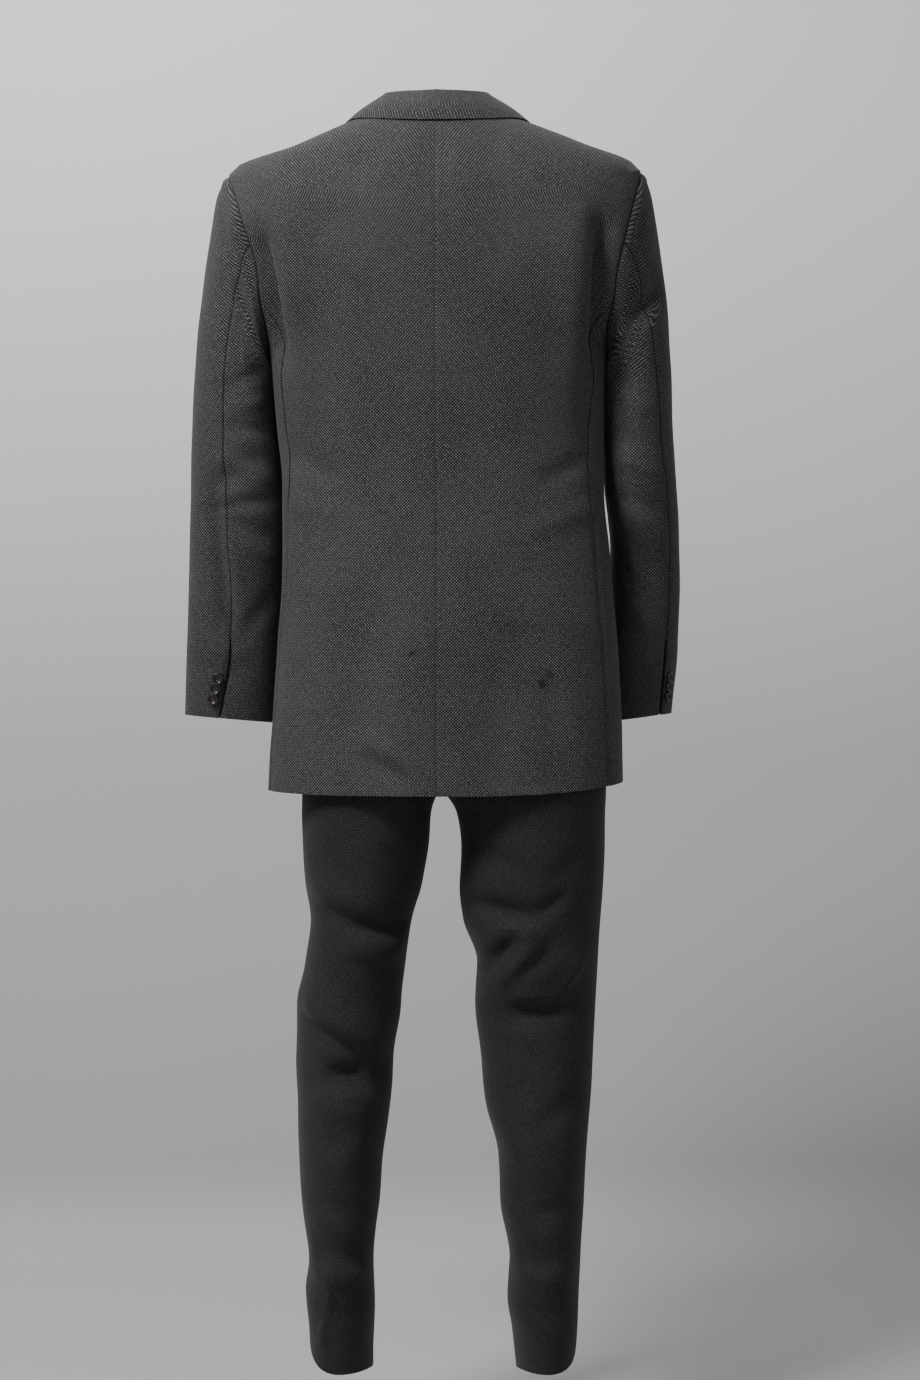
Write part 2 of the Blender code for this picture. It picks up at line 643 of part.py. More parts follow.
def build_front(side):
    rows = BODY_ROWS
    start = outer_turn(side, True)
    end = front_edge_turn(rows, side)
    round_part = np.sin(np.linspace(0, np.pi / 2, 6))
    share = np.append(np.linspace(0, CORNER_START, 6), CORNER_START + (1 - CORNER_START) * round_part[1:])
    turn = start[:, None] + (end - start)[:, None] * share
    past = np.clip((share - CORNER_START) / (1 - CORNER_START), 0, 1)
    round_off = CORNER_LIFT * (1 - np.sqrt(1 - past**2))
    low = smooth_step((rows - 9.0) / 2.0)
    row = fanned_rows(1 - share) - round_off * low[:, None]
    surface = on_side(side)
    if side == RIGHT:
        surface = under_lap(surface, side)
    through = normals(surface, turn, row, side)
    through[ARMHOLE_ROWS, 0], apart = mitre(side, -BACK_SWINGS)
    place = eased(surface(turn, row), SEAM / 2)
    place[ARMHOLE_ROWS, 0] -= apart
    wall(f"jacket_front_{SIDES[side]}", place, through, WALL, JACKET_CLOTH)


def build_lapel(side):
    """The turned-out front: it lies on the front panel from the roll line to its own edge."""
    rows = np.concatenate([[LAPEL_TOP], np.linspace(1.2, 6.6, 10), [7.1]])
    share = np.linspace(0, 1, 5)
    row = rows[:, None] + np.interp(rows, [LAPEL_TOP, 3.0], [LAPEL_DROP, 0])[:, None] * share
    edge = along(BODY, "edge", row)
    outer = along(BODY, "lapel", row)
    x = edge + (outer - edge) * share
    turn = front_turn(row, x, side)
    surface = on_side(side)
    if side == RIGHT:
        surface = under_lap(surface, side)
    through = normals(surface, turn, row, side)
    place = surface(turn, row) + through * (LAPEL_CLEAR + THIN_WALL)
    wall(f"lapel_{SIDES[side]}", eased(place, SEAM / 2), through, THIN_WALL, JACKET_CLOTH)


def collar_surface(turn, share):
    """The cloth of the collar, from the neck seam up the stand, over the fold and down the fall."""
    turn, share = np.broadcast_arrays(np.asarray(turn, float), np.asarray(share, float))
    place = np.interp(np.abs(turn), COLLAR["turn"], np.arange(len(COLLAR["turn"])))
    column = {name: along(COLLAR, name, place) for name in COLLAR}
    mid_turn = turn - np.sign(turn) * column["mid_back"]
    fall_turn = turn - np.sign(turn) * column["fall_back"]
    s, c = np.sin(np.radians(turn)), np.cos(np.radians(turn))
    radial = points(s, c, np.zeros_like(s))
    up = points(0 * s, 0 * s, np.ones_like(s))
    seat = body_rest(turn, column["neck_row"])
    fold = seat + up * column["stand"][..., None] - radial * column["lean"][..., None]
    stand = seat - radial * 0.5 + up * 1.1
    lie = CLEAR + THIN_WALL
    edge_row, mid_row = column["fall_row"], column["mid_row"]
    edge = body_rest(fall_turn, edge_row) + normals(body_rest, fall_turn, edge_row) * lie
    resting = body_rest(mid_turn, mid_row) + normals(body_rest, mid_turn, mid_row) * (lie + 1.5)
    inside = fold - radial * FOLD_ROUND * 0.5 - up * FOLD_ROUND * 0.6
    outside = fold + radial * FOLD_ROUND * 0.9 - up * FOLD_ROUND * 0.7
    low_stand = stand * 0.45 + inside * 0.55 - radial
    hanging = edge * 0.5 + outside * 0.5 + radial * 2.5
    at_front = smooth_step((np.abs(turn) - 112) / 16)[..., None]
    draped = np.where(hanging[..., 2:] > resting[..., 2:], hanging, resting)
    mid_fall = draped + (resting - draped) * at_front
    knots = np.stack([stand, low_stand, inside, fold, outside, mid_fall, edge])
    position = np.interp(share, (0, 0.2, 0.40, 0.505, 0.61, 0.80, 1.0), np.arange(7))
    slopes = np.gradient(knots, axis=0)
    low = np.clip(np.floor(position).astype(int), 0, 5)[None, ..., None]
    t = (position - low[0, ..., 0])[..., None]
    start, end = (np.take_along_axis(knots, low + i, 0)[0] for i in (0, 1))
    leave, arrive = (np.take_along_axis(slopes, low + i, 0)[0] for i in (0, 1))
    ease = t * t * (3 - 2 * t)
    return start + (end - start) * ease + t * (1 - t) ** 2 * leave - t * t * (1 - t) * arrive


def build_collar():
    end = COLLAR["turn"][-1]
    turn = np.linspace(-end, end, COLLAR_STEPS + 1)
    share = np.array(COLLAR_PROFILE)
    turn_grid, share_grid = np.meshgrid(turn, share)
    place = collar_surface(turn_grid, share_grid)
    through = normals(collar_surface, turn_grid, share_grid, 1, 0.5, 0.01)
    wall("collar", place, through, THIN_WALL, JACKET_CLOTH)


def build_sleeve(side):
    name = SIDES[side]
    surface = sleeve_surface(side)
    spans = {
        "under_sleeve": np.arange(BACK_SLEEVE_SEAM, FRONT_SLEEVE_SEAM + 1, 20.0),
        "top_sleeve": np.arange(FRONT_SLEEVE_SEAM - 360, BACK_SLEEVE_SEAM + 1, 20.0),
    }
    for part, swings in spans.items():
        row, swing = np.meshgrid(SLEEVE_ROWS, swings, indexing="ij")
        through = normals(surface, swing, np.maximum(row, 0.05), -side, 2.0, 0.03)
        through[0], apart = mitre(side, swings)
        place = eased(surface(swing, row), SEAM / 2)
        place[0] += apart
        wall(f"{part}_{name}", place, through, WALL, JACKET_CLOTH)


def build_leg(side):
    surface = folded(leg_rest(side), LEG_FOLDS[side], side)
    for part, front in (("back", False), ("front", True)):
        inner = rise_turn(LEG_ROWS, front)
        if front:
            turn = spread(np.full(len(LEG_ROWS), 90.0), 180 + inner, LEG_COLUMNS)
        else:
            turn = spread(-inner, np.full(len(LEG_ROWS), 90.0), LEG_COLUMNS)
        row = np.repeat(LEG_ROWS[:, None], turn.shape[1], axis=1)
        through = normals(surface, turn, row, side)
        place = eased(surface(turn, row), SEAM / 2)
        wall(f"trouser_{part}_{SIDES[side]}", place, through, THIN_WALL, TROUSER_CLOTH)


def build_waistband():
    """A band round the waist, open at the centre front."""
    turn = np.linspace(-179.4, 179.4, 29)
    up = np.array([WAIST_TALL, WAIST_TALL / 2, 0.6])
    turn_grid, up_grid = np.meshgrid(turn, up)
    left = along(LEGS, "left", 0.0) - CENTRE_X
    right = CENTRE_X - along(LEGS, "right", 0.0)
    reach = ring_reach(turn_grid, right, left, along(LEGS, "back", 0.0), along(LEGS, "front", 0.0), 2.3)
    s, c = np.sin(np.radians(turn_grid)), np.cos(np.radians(turn_grid))
    inset = up_grid * 0.06
    z = along(LEGS, "z", 0.0) + up_grid
    place = points(CENTRE_X + (reach - inset) * s, along(LEGS, "middle_y", 0.0) + (reach - inset) * c, z)
    wall("waistband", place, points(s, c, np.zeros_like(s)), WALL, TROUSER_CLOTH)


def build_fly():
    """The fly's flap lies on the left front, beside the centre seam, and bends in at its foot."""
    rows = np.linspace(0.12, 2.9, 7)
    width = FLY_WIDE * np.sqrt(np.clip(1 - ((rows - 1.6) / 1.4).clip(0, 1) ** 2 * 0.92, 0, 1))
    surface = folded(leg_rest(LEFT), LEG_FOLDS[LEFT])
    centre = 180 + rise_turn(rows, True)
    deep = along(LEGS, "front", rows)
    start = centre - np.degrees(width / deep)
    turn = spread(start, centre - 0.3, 3)
    row = np.repeat(rows[:, None], turn.shape[1], axis=1)
    through = normals(surface, turn, row)
    wall("fly", surface(turn, row) + through * (CLEAR + THIN_WALL), through, THIN_WALL, TROUSER_CLOTH)


def build_flap(name, side, x_span, row_span, lean):
    """A flap or welt that lies on a front panel: a patch of the body, moved out."""
    share = np.linspace(0, 1, 6)
    rows = np.linspace(row_span[0], row_span[1], 3)
    x = x_span[0] + (x_span[1] - x_span[0]) * share
    row = rows[:, None] + lean * share[None, :]
    turn = front_turn(row, np.broadcast_to(x, row.shape), side)
    surface = on_side(side)
    through = normals(surface, turn, row, side)
    wall(name, surface(turn, row) + through * (CLEAR + THIN_WALL), through, THIN_WALL, JACKET_CLOTH)


def build_button(name, place, out, across, finish=HORN_BUTTON):
    """A turned button: a raised rim round a shallow dish, standing on the cloth."""
    radius = across / 2
    profile = (
        (0.0, BUTTON_THICK * 0.62),
        (radius * 0.62, BUTTON_THICK * 0.62),
        (radius * 0.80, BUTTON_THICK),
        (radius, BUTTON_THICK * 0.72),
        (radius * 0.86, 0.0),
        (0.0, 0.0),
    )
    mesh = bpy.data.meshes.new(name)
    corners = [(reach * MM, 0, height * MM) for reach, height in profile]
    mesh.from_pydata(corners, [(i, i + 1) for i in range(len(profile) - 1)], [])
    piece = part_from(name, mesh, finish)
    turned = piece.modifiers.new("turned", "SCREW")
    turned.axis = "Z"
    turned.steps = turned.render_steps = BUTTON_STEPS
    turned.use_merge_vertices = True
    turned.merge_threshold = 0.00001
    turned.use_normal_calculate = True
    turn = Vector(out).to_track_quat("Z", "Y").to_matrix().to_4x4()
    piece.matrix_world = Matrix.Translation(Vector(place) * MM) @ turn


def build_cuff_buttons(side):
    surface = sleeve_surface(side)
    for number, row in enumerate((10.42, 10.57, 10.72), 1):
        swing = np.array([BACK_SLEEVE_SEAM - 10])
        at = np.array([row])
        out = normals(surface, swing, at, -side, 2.0, 0.03)[0]
        place = surface(swing, at)[0] + out * CUFF_SEAT
        build_button(f"cuff_button_{SIDES[side]}_{number}", place, out, CUFF_BUTTON * 0.8)


def build_front_buttons():
    surface = on_side(LEFT)
    for number, (row, seat) in enumerate(FRONT_BUTTONS, 1):
        at = np.array([row])
        turn = front_turn(at, np.array([0.0]), LEFT)
        out = normals(surface, turn, at)[0]
        build_button(f"front_button_{number}", surface(turn, at)[0] + out * seat, out, FRONT_BUTTON)


def build_waist_button():
    place = (CENTRE_X, along(LEGS, "middle_y", 0.0) - along(LEGS, "front", 0.0) - WAIST_SEAT, -514.0)
    build_button("waist_button", place, (0, -1, 0), WAIST_BUTTON)


def clear_scene():
    for item in list(bpy.data.objects):
        bpy.data.objects.remove(item, do_unlink=True)


def main():
    clear_scene()
    bpy.context.scene.collection.children.link(bpy.data.collections.new("suit"))
    for side in SIDES:
        build_back(side)
        build_side(side)
        build_front(side)
        build_lapel(side)
        build_sleeve(side)
        build_cuff_buttons(side)
        build_leg(side)
        build_flap(f"hip_flap_{SIDES[side]}", side, (150, 62), (8.35, 8.85), 0.12)
    build_flap("breast_welt", LEFT, (178, 118), (4.42, 4.8), 0.12)
    build_collar()
    build_waistband()
    build_fly()
    build_front_buttons()
    build_waist_button()


main()
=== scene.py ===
# %% [markdown]
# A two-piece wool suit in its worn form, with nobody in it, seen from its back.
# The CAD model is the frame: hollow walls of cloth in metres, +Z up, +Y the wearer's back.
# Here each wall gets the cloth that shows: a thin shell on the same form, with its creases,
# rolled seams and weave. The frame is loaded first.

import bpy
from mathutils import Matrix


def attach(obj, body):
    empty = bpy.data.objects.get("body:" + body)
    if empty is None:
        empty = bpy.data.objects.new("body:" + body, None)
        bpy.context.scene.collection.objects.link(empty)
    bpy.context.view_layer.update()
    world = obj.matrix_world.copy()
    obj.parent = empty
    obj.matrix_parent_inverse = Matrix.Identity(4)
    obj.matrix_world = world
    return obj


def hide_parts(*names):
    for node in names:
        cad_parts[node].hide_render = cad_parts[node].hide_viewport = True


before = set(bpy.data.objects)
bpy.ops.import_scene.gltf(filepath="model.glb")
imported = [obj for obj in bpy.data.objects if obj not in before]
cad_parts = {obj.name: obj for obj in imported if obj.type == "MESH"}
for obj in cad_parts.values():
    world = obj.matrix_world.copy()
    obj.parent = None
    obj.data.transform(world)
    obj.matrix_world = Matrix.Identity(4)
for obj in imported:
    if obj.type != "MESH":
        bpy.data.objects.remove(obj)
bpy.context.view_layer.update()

# %% The other modules
from math import pi

import bpy
import numpy as np
from mathutils import Vector

MM = 0.001
LEFT, RIGHT = 1, -1
SIDES = {LEFT: "left", RIGHT: "right"}

# %% [markdown]
# A tailor works from a table of measures. Nearly the same tables shaped the solids, so the cloth
# falls on the same form: one row for each ring round the body, sleeve or leg, in millimetres. Only
# the inner lines of the sleeves lie a few millimetres nearer the body here. Typing each point would
# be long and hard to change. Smooth curves through a few rows are short, and any ring between them
# can be asked for, however fine the cloth has to be.

# %% Cloth and seam sizes
# Millimetres: the cloth that shows, and a seam's gap, depth, width and the width of its painted
# shade. A faint seam has this share of the painted shade
CLOTH = 1.3
SEAM_GAP = 0.06
SEAM_SINK = 1.15
SEAM_WIDE = 2.3
SEAM_SHADE = 1.5
FAINT = 0.45

# Millimetres: the walls of the solids, and the air between two that lie on each other
THIN_WALL = 1.6
WALL = 2.0
CLEAR = 0.9
LAPEL_CLEAR = 1.5
UNDER_LAP = WALL + THIN_WALL + 2.5 * CLEAR

# Where seams and edges run: rows down the tables, turns in degrees from the back, the rest in
# millimetres or shares
SHOULDER_ROW = 2.0
UNDERARM_ROW = 5.04
HEM_ROW = 11.0
ARMHOLE_BACK = 20.0
ARMHOLE_FRONT = 21.0
SIDE_SEAM_TURN = 120.0
SIDE_FRONT_HEM = 116.0
SIDE_BACK_HEM = {LEFT: 79.0, RIGHT: 71.5}
LAPEL_TOP = 0.70
LAPEL_END = 7.1
LAPEL_DROP = 0.80
VENT_TOP_ROW = 8.3
VENT_TUCK = 30.0
CORNER_LIFT = 0.7
CORNER_START = 0.6
CENTRE_X = -4.0
CROTCH_ROW = 5.0
OUTER_SEAM = 90.0
LEG_HEM_ROW = 20.0
WAIST_TALL = 38.0
FLY_WIDE = 38.0

# Sleeves: the seams in degrees round the arm, a ring's squareness, the rows that the armhole pulls
BACK_SLEEVE_SEAM = 80.0
FRONT_SLEEVE_SEAM = 240.0
SLEEVE_ROUND = 2.2
ARMHOLE_PULL = 2.5

# A row beyond either end of a table is this tall in millimetres
ROW_TALL = {"neck": 30, "body": 80, "sleeve": 75, "waist": 50, "leg": 30}

# Steps in rows, and the weight of each, for easing the body's rings into each other
EASE_STEPS = ((-0.8, 1 / 9), (-0.4, 2 / 9), (0.0, 3 / 9), (0.4, 2 / 9), (0.8, 1 / 9))


# %% A table with named columns
def table(columns, *rows):
    """The first entry of each row is its name."""
    values = np.array([row[1:] for row in rows], float)
    return {name: values[:, i] for i, name in enumerate(columns.split())}


# %% The rings of the jacket's body
BODY = table(
    "side_z right_lift back_z front_z left right back front power front_power edge lapel",
    ("neck seam", 8, 0, -4, -30, 78, 78, 66, 62, 2.2, 2.2, 74, 110),
    ("yoke", -31, 3, -52, -92, 168, 172, 106, 104, 2.3, 2.3, 62, 134),
    ("shoulder", -66, 5, -112, -150, 246, 241, 122, 132, 2.5, 2.5, 54, 150),
    ("blade", -130, 4, -165, -205, 252, 250, 126, 146, 2.6, 2.5, 45, 144),
    ("chest", -202, 2, -216, -250, 236, 234, 124, 153, 2.6, 2.4, 36, 129),
    ("underarm", -276, 0, -278, -300, 200, 202, 118, 154, 2.5, 2.3, 25, 106),
    ("ribs", -350, 0, -350, -362, 192, 199, 110, 150, 2.4, 2.2, 10, 74),
    ("waist", -430, 0, -430, -436, 184, 199, 104, 146, 2.4, 2.15, -12, 26),
    ("seat top", -520, 0, -520, -524, 183, 206, 107, 146, 2.4, 2.1, -18, 0),
    ("hip", -620, 2, -620, -624, 189, 214, 116, 150, 2.4, 2.1, -16, 0),
    ("skirt", -710, 5, -711, -716, 195, 219, 121, 150, 2.4, 2.1, -3, 0),
    ("hem", -794, 10, -799, -806, 200, 221, 124, 148, 2.4, 2.1, 34, 0),
)

# %% The rings of the sleeves
SLEEVES = {
    LEFT: table(
        "out_x out_z in_x in_z middle_y back front twist",
        ("armhole", 246, -66, 196, -284, 0, 72, 72, 0),
        ("cap", 260, -88, 196.4, -298, -6, 74, 75, 0),
        ("cap low", 269, -124, 189.8, -316, -16, 75, 75, 0),
        ("upper arm", 276, -162, 190.4, -338, -22, 73, 74, 0),
        ("biceps", 283, -218, 189.6, -364, -23, 71, 72, 2),
        ("mid arm", 290, -288, 185.6, -396, -28, 69, 69, 4),
        ("above elbow", 294, -356, 181.8, -432, -34, 67, 66, 4),
        ("elbow", 297, -424, 179.2, -468, -41, 64, 63, 2),
        ("below elbow", 299, -485, 179.6, -508, -49, 61, 60, 0),
        ("forearm", 302, -557, 182.4, -566, -60, 57, 56, -6),
        ("wrist", 305, -628, 188, -632, -72, 52, 51, -8),
        ("cuff", 309, -706, 193, -716, -84, 47, 47, 2),
    ),
    RIGHT: table(
        "out_x out_z in_x in_z middle_y back front twist",
        ("armhole", 241, -62, 196, -284, 0, 72, 72, 0),
        ("cap", 253, -84, 198.8, -298, -8, 74, 75, 2),
        ("cap low", 262, -124, 194.8, -316, -16, 75, 76, 6),
        ("upper arm", 268, -162, 194.8, -338, -22, 75, 76, 10),
        ("biceps", 275, -218, 198, -364, -22, 74, 75, 15),
        ("mid arm", 280, -288, 200.2, -396, -26, 72, 72, 19),
        ("above elbow", 283, -356, 201, -432, -32, 69, 69, 22),
        ("elbow", 288, -424, 206, -468, -43, 66, 66, 25),
        ("below elbow", 293, -485, 210, -508, -57, 62, 62, 27),
        ("forearm", 295, -557, 208, -566, -75, 58, 58, 28),
        ("wrist", 294, -628, 202, -634, -93, 54, 54, 28),
        ("cuff", 288, -704, 199, -716, -109, 50, 50, 28),
    ),
}

# %% The rings of the trouser legs
# Each leg: its outer line, how far its ring has moved out from the seat seam (merge), its depths
LEGS = table(
    "z left right left_merge right_merge middle_y back front power lift",
    ("waist seam", -534, 152, -172, 0.00, 0.00, -14, 98, 100, 2.3, 0),
    ("hip top", -590, 158, -184, 0.03, 0.03, -10, 104, 102, 2.3, 0),
    ("hip", -650, 161, -194, 0.11, 0.11, -5, 108, 108, 2.3, 0),
    ("seat", -710, 162, -198, 0.25, 0.25, -2, 108, 110, 2.4, 0),
    ("fork", -762, 160, -201, 0.42, 0.42, 0, 104, 112, 2.4, 0),
    ("crotch", -792, 160, -201, 0.50, 0.50, 0, 101, 110, 2.4, 0),
    ("thigh top", -822, 160, -200, 0.535, 0.550, 0, 98, 108, 2.3, 0),
    ("thigh", -860, 159, -199, 0.545, 0.563, 0, 96, 106, 2.2, 0),
    ("mid thigh", -905, 156, -197, 0.567, 0.560, -1, 93, 104, 2.1, 0),
    ("low thigh", -950, 150, -194, 0.610, 0.572, -3, 89, 101, 2.1, 0),
    ("above knee", -1000, 157, -191, 0.630, 0.618, -6, 86, 98, 2.1, 0),
    ("knee", -1050, 167, -189, 0.637, 0.612, -7, 84, 96, 2.0, 0),
    ("below knee", -1110, 167, -186, 0.664, 0.632, -5, 84, 92, 2.0, 0),
    ("calf", -1165, 165, -182, 0.675, 0.650, -2, 84, 88, 2.0, 0),
    ("low calf", -1225, 163, -177, 0.702, 0.698, 2, 82, 85, 2.0, 0),
    ("shin", -1285, 160, -174, 0.722, 0.710, 3, 80, 83, 2.0, 0),
    ("pinch", -1350, 152, -171, 0.756, 0.747, 4, 79, 81, 2.0, 0.1),
    ("ankle", -1395, 156, -169, 0.745, 0.742, 3, 78, 82, 2.0, 0.35),
    ("break", -1424, 155, -168, 0.748, 0.757, 1, 78, 83, 2.0, 0.6),
    ("turn-in", -1448, 153, -167, 0.752, 0.768, 0, 77, 83, 2.0, 0.8),
    ("hem", -1470, 152, -166, 0.754, 0.778, -1, 76, 83, 2.0, 1.0),
)

# How far the trouser hem rises or drops at its outer, inner and front lines
HEM_RISE = table("outer inner front", ("left", 37, -7, 14), ("right", 22, -9, 14))

# %% The line of the collar
COLLAR = table(
    "turn neck_row stand lean mid_row fall_row mid_back fall_back",
    ("centre back", 0, 0, 29, 9, 0.14, 0.26, 0, 0),
    ("back", 30, 0, 27, 10, 0.15, 0.27, 0, 0),
    ("back of side", 60, 0, 24, 13, 0.16, 0.28, 0, 0),
    ("side", 90, 0, 22, 15, 0.18, 0.34, 0, 0),
    ("front of side", 108, 0.02, 15, 9, 0.29, 0.52, 0, 1),
    ("neck front", 124, 0.26, 10, 4, 0.62, 0.80, 1, 6),
    ("gorge", 140, 0.56, 8, 2, 1.05, 0.93, 5.5, 14),
)
FOLD_ROUND = 4.5

# Shares of the way up its stand, over its fold and down its fall where the collar has a set place
COLLAR_SHARES = (0, 0.2, 0.40, 0.505, 0.61, 0.80, 1.0)

# %% [markdown]
# Worn cloth hangs in a few large folds and many small ones. The large ones are in the solids and
# are repeated here in the same places, and made up to 1.8 times as deep further down, since fine
# cloth can fold deeper than a thick wall. A cloth simulation would put them where it likes. A row
# for each fold puts it where the photograph shows it, as a soft line from one point to another as
# seen from the back (facing 1) or the front (facing -1), with a width and a height in millimetres.

# %% The large folds, as in the solids
FOLD_COLUMNS = "facing x1 z1 x2 z2 wide high"
BODY_FOLDS = table(
    FOLD_COLUMNS,
    ("left blade trough", 1, 206, -150, 180, -285, 15, -9),
    ("left blade ridge", 1, 176, -130, 158, -330, 22, 5),
    ("right blade trough", 1, -190, -135, -188, -300, 15, -8),
    ("right blade ridge", 1, -160, -120, -164, -330, 24, 5),
    ("left hem swing", 1, 85, -560, 95, -790, 38, -5),
    ("right hem swing", 1, -90, -600, -70, -790, 40, -4),
    ("nape hollow", 1, -20, -60, 20, -60, 30, -3),
    ("left chest trough", -1, 196, -150, 176, -280, 16, -7),
    ("right chest trough", -1, -196, -150, -176, -280, 16, -7),
    ("left button drag", -1, 10, -470, 120, -430, 16, -4),
    ("right button drag", -1, -30, -470, -120, -430, 16, -4),
)

SLEEVE_FOLDS = {
    LEFT: table(
        FOLD_COLUMNS,
        ("cap dent", 1, 236, -150, 232, -260, 14, -5),
        ("back trough", 1, 270, -420, 246, -600, 18, -5),
        ("elbow fold", 1, 205, -400, 270, -440, 16, -4),
        ("low elbow fold", 1, 200, -500, 262, -470, 14, -4),
        ("front elbow fold", -1, 200, -410, 280, -440, 16, -6),
        ("front elbow fold low", -1, 205, -480, 275, -455, 14, -5),
    ),
    RIGHT: table(
        FOLD_COLUMNS,
        ("cap crease", 1, -230, -245, -272, -192, 11, -8),
        ("elbow fold", 1, -212, -300, -222, -376, 14, -5),
        ("forearm fold", 1, -214, -485, -262, -545, 14, -5),
        ("forearm ridge", 1, -222, -450, -268, -505, 13, 4),
        ("front elbow fold", -1, -210, -410, -275, -440, 16, -6),
        ("front elbow fold low", -1, -214, -480, -272, -455, 14, -5),
    ),
}

LEG_FOLDS = {
    LEFT: table(
        FOLD_COLUMNS,
        ("seat fold", 1, 96, -950, 32, -957, 13, -9),
        ("seat fold lip", 1, 104, -976, 34, -982, 13, 6),
        ("knee ridge", 1, 150, -1030, 62, -1082, 20, 6),
        ("knee pocket", 1, 128, -1128, 76, -1128, 20, -9),
        ("knee pocket lip", 1, 128, -1156, 72, -1162, 18, 5),
        ("ankle pinch", 1, 146, -1330, 84, -1336, 16, -6),
        ("front knee fold", -1, 140, -1060, 70, -1090, 20, -6),
        ("front break", -1, 140, -1395, 86, -1405, 16, -8),
        ("front thigh drag", -1, 120, -880, 50, -960, 18, -4),
    ),
    RIGHT: table(
        FOLD_COLUMNS,
        ("seat fold", 1, -34, -925, -116, -944, 15, -9),
        ("seat fold lip", 1, -60, -962, -118, -950, 14, 6),
        ("thigh ridge", 1, -118, -955, -66, -1018, 15, 6),
        ("knee ridge", 1, -86, -1026, -166, -980, 17, 5),
        ("knee hollow", 1, -70, -1060, -150, -1040, 20, -5),
        ("ankle pinch", 1, -92, -1332, -140, -1338, 16, -5),
        ("front knee fold", -1, -150, -1060, -80, -1090, 20, -6),
        ("front break", -1, -160, -1395, -100, -1405, 16, -8),
        ("front thigh drag", -1, -150, -880, -60, -960, 18, -4),
    ),
}

# %% [markdown]
# Cloth turns without kinks between two measures, so each column of a table becomes a smooth curve.
# Straight lines would leave an edge at each ring. The curves are flat where the values turn, so
# that none runs past a measure and bulges where the suit doesn't.

# %% Smooth curves through a table
def slopes_of(values):
    """A slope at each value, flat where the values turn, so that no curve runs past them."""
    steps = np.diff(values)
    before = np.append(steps[0], steps)
    after = np.append(steps, steps[-1])
    same_way = before * after > 0
    total = np.where(same_way, before + after, 1.0)
    return np.where(same_way, 2 * before * after / total, 0.0)


def along(columns, name, row):
    """The smooth value of a column at any row, by cubic curves through the table's rows."""
    values = columns[name]
    last = len(values) - 1
    slopes = slopes_of(values)
    row = np.clip(row, 0, last)
    low = np.minimum(np.floor(row).astype(int), last - 1)
    t = row - low
    start, end = values[low], values[low + 1]
    ease = t * t * (3 - 2 * t)
    pull = t * (1 - t) ** 2 * slopes[low] - t * t * (1 - t) * slopes[low + 1]
    return start + (end - start) * ease + pull


# %% Small helpers for points and directions
def smooth_step(t):
    t = np.clip(t, 0, 1)
    return t * t * (3 - 2 * t)


def unit(vectors):
    return vectors / np.linalg.norm(vectors, axis=-1, keepdims=True)


def points(x, y, z):
    return np.stack(np.broadcast_arrays(x, y, z), axis=-1).astype(float)


def sine_cosine(degrees):
    return np.sin(np.radians(degrees)), np.cos(np.radians(degrees))


def same_shape(u, v):
    return np.broadcast_arrays(np.asarray(u, float), np.asarray(v, float))


def ring_at(columns, row):
    """Every measure of a table at any row."""
    return {name: along(columns, name, row) for name in columns}


def normals(surface, u, v, hand=1, step_u=0.4, step_v=0.01):
    """The outward direction of a surface. Hand is 1 where u grows towards +X at the back."""
    across = surface(u + step_u, v) - surface(u - step_u, v)
    down = surface(u, v + step_v) - surface(u, v - step_v)
    return hand * unit(np.cross(across, down))


def lifted(surface, u, v, height, hand=1):
    """Points this far outside a surface."""
    return surface(u, v) + normals(surface, u, v, hand) * height


# %% [markdown]
# Cloth is never quite even between its folds: steam, wear and the canvas below leave it a little
# wavy. Noise on each point could make that. A few long sine waves that cross each other cost less
# and depend on place alone, so two panels that meet at a seam ripple together and stay closed.

# %% The height of soft folds, and a faint unevenness
def fold_height(folds, place, outward):
    """The sum of the troughs and ridges at each place, faded out where the cloth turns away."""
    total = np.zeros(place.shape[:-1])
    seen = place[..., [0, 2]]
    for facing, x1, z1, x2, z2, wide, high in zip(*folds.values()):
        start = np.array([x1, z1])
        run = np.array([x2, z2]) - start
        t = np.clip(((seen - start) @ run) / (run @ run), 0, 1)
        away = np.linalg.norm(seen - start - t[..., None] * run, axis=-1)
        faces = smooth_step((facing * outward[..., 1] - 0.1) / 0.5)
        fade = 0.35 + 0.65 * np.sin(pi * t) ** 0.5
        total += high * np.exp(-((away / wide) ** 2)) * faces * fade
    return total


def ripple(place, size):
    """A height of about this size in millimetres, the same for any two points at one place."""
    total = np.zeros(place.shape[:-1])
    for number, wave in enumerate((31.0, 43.0, 58.0, 79.0, 104.0, 137.0)):
        turn = 2.4 * number
        way = np.array([np.cos(turn), 0.5 * np.sin(1.7 * turn), 0.8 * np.sin(turn)])
        total += np.sin(place @ way * (2 * pi / wave) + 1.9 * number) * wave / 100
    return total * size / 2.2


def folded(surface, folds, hand, uneven, fade=None):
    """The same surface with its folds and a faint unevenness of this size."""

    def with_folds(u, v):
        place = surface(u, v)
        out = normals(surface, u, v, hand)
        waves = ripple(place, uneven)
        if fade:
            waves = waves * fade(v)
        return place + out * (fold_height(folds, place, out) + waves)[..., None]

    return with_folds
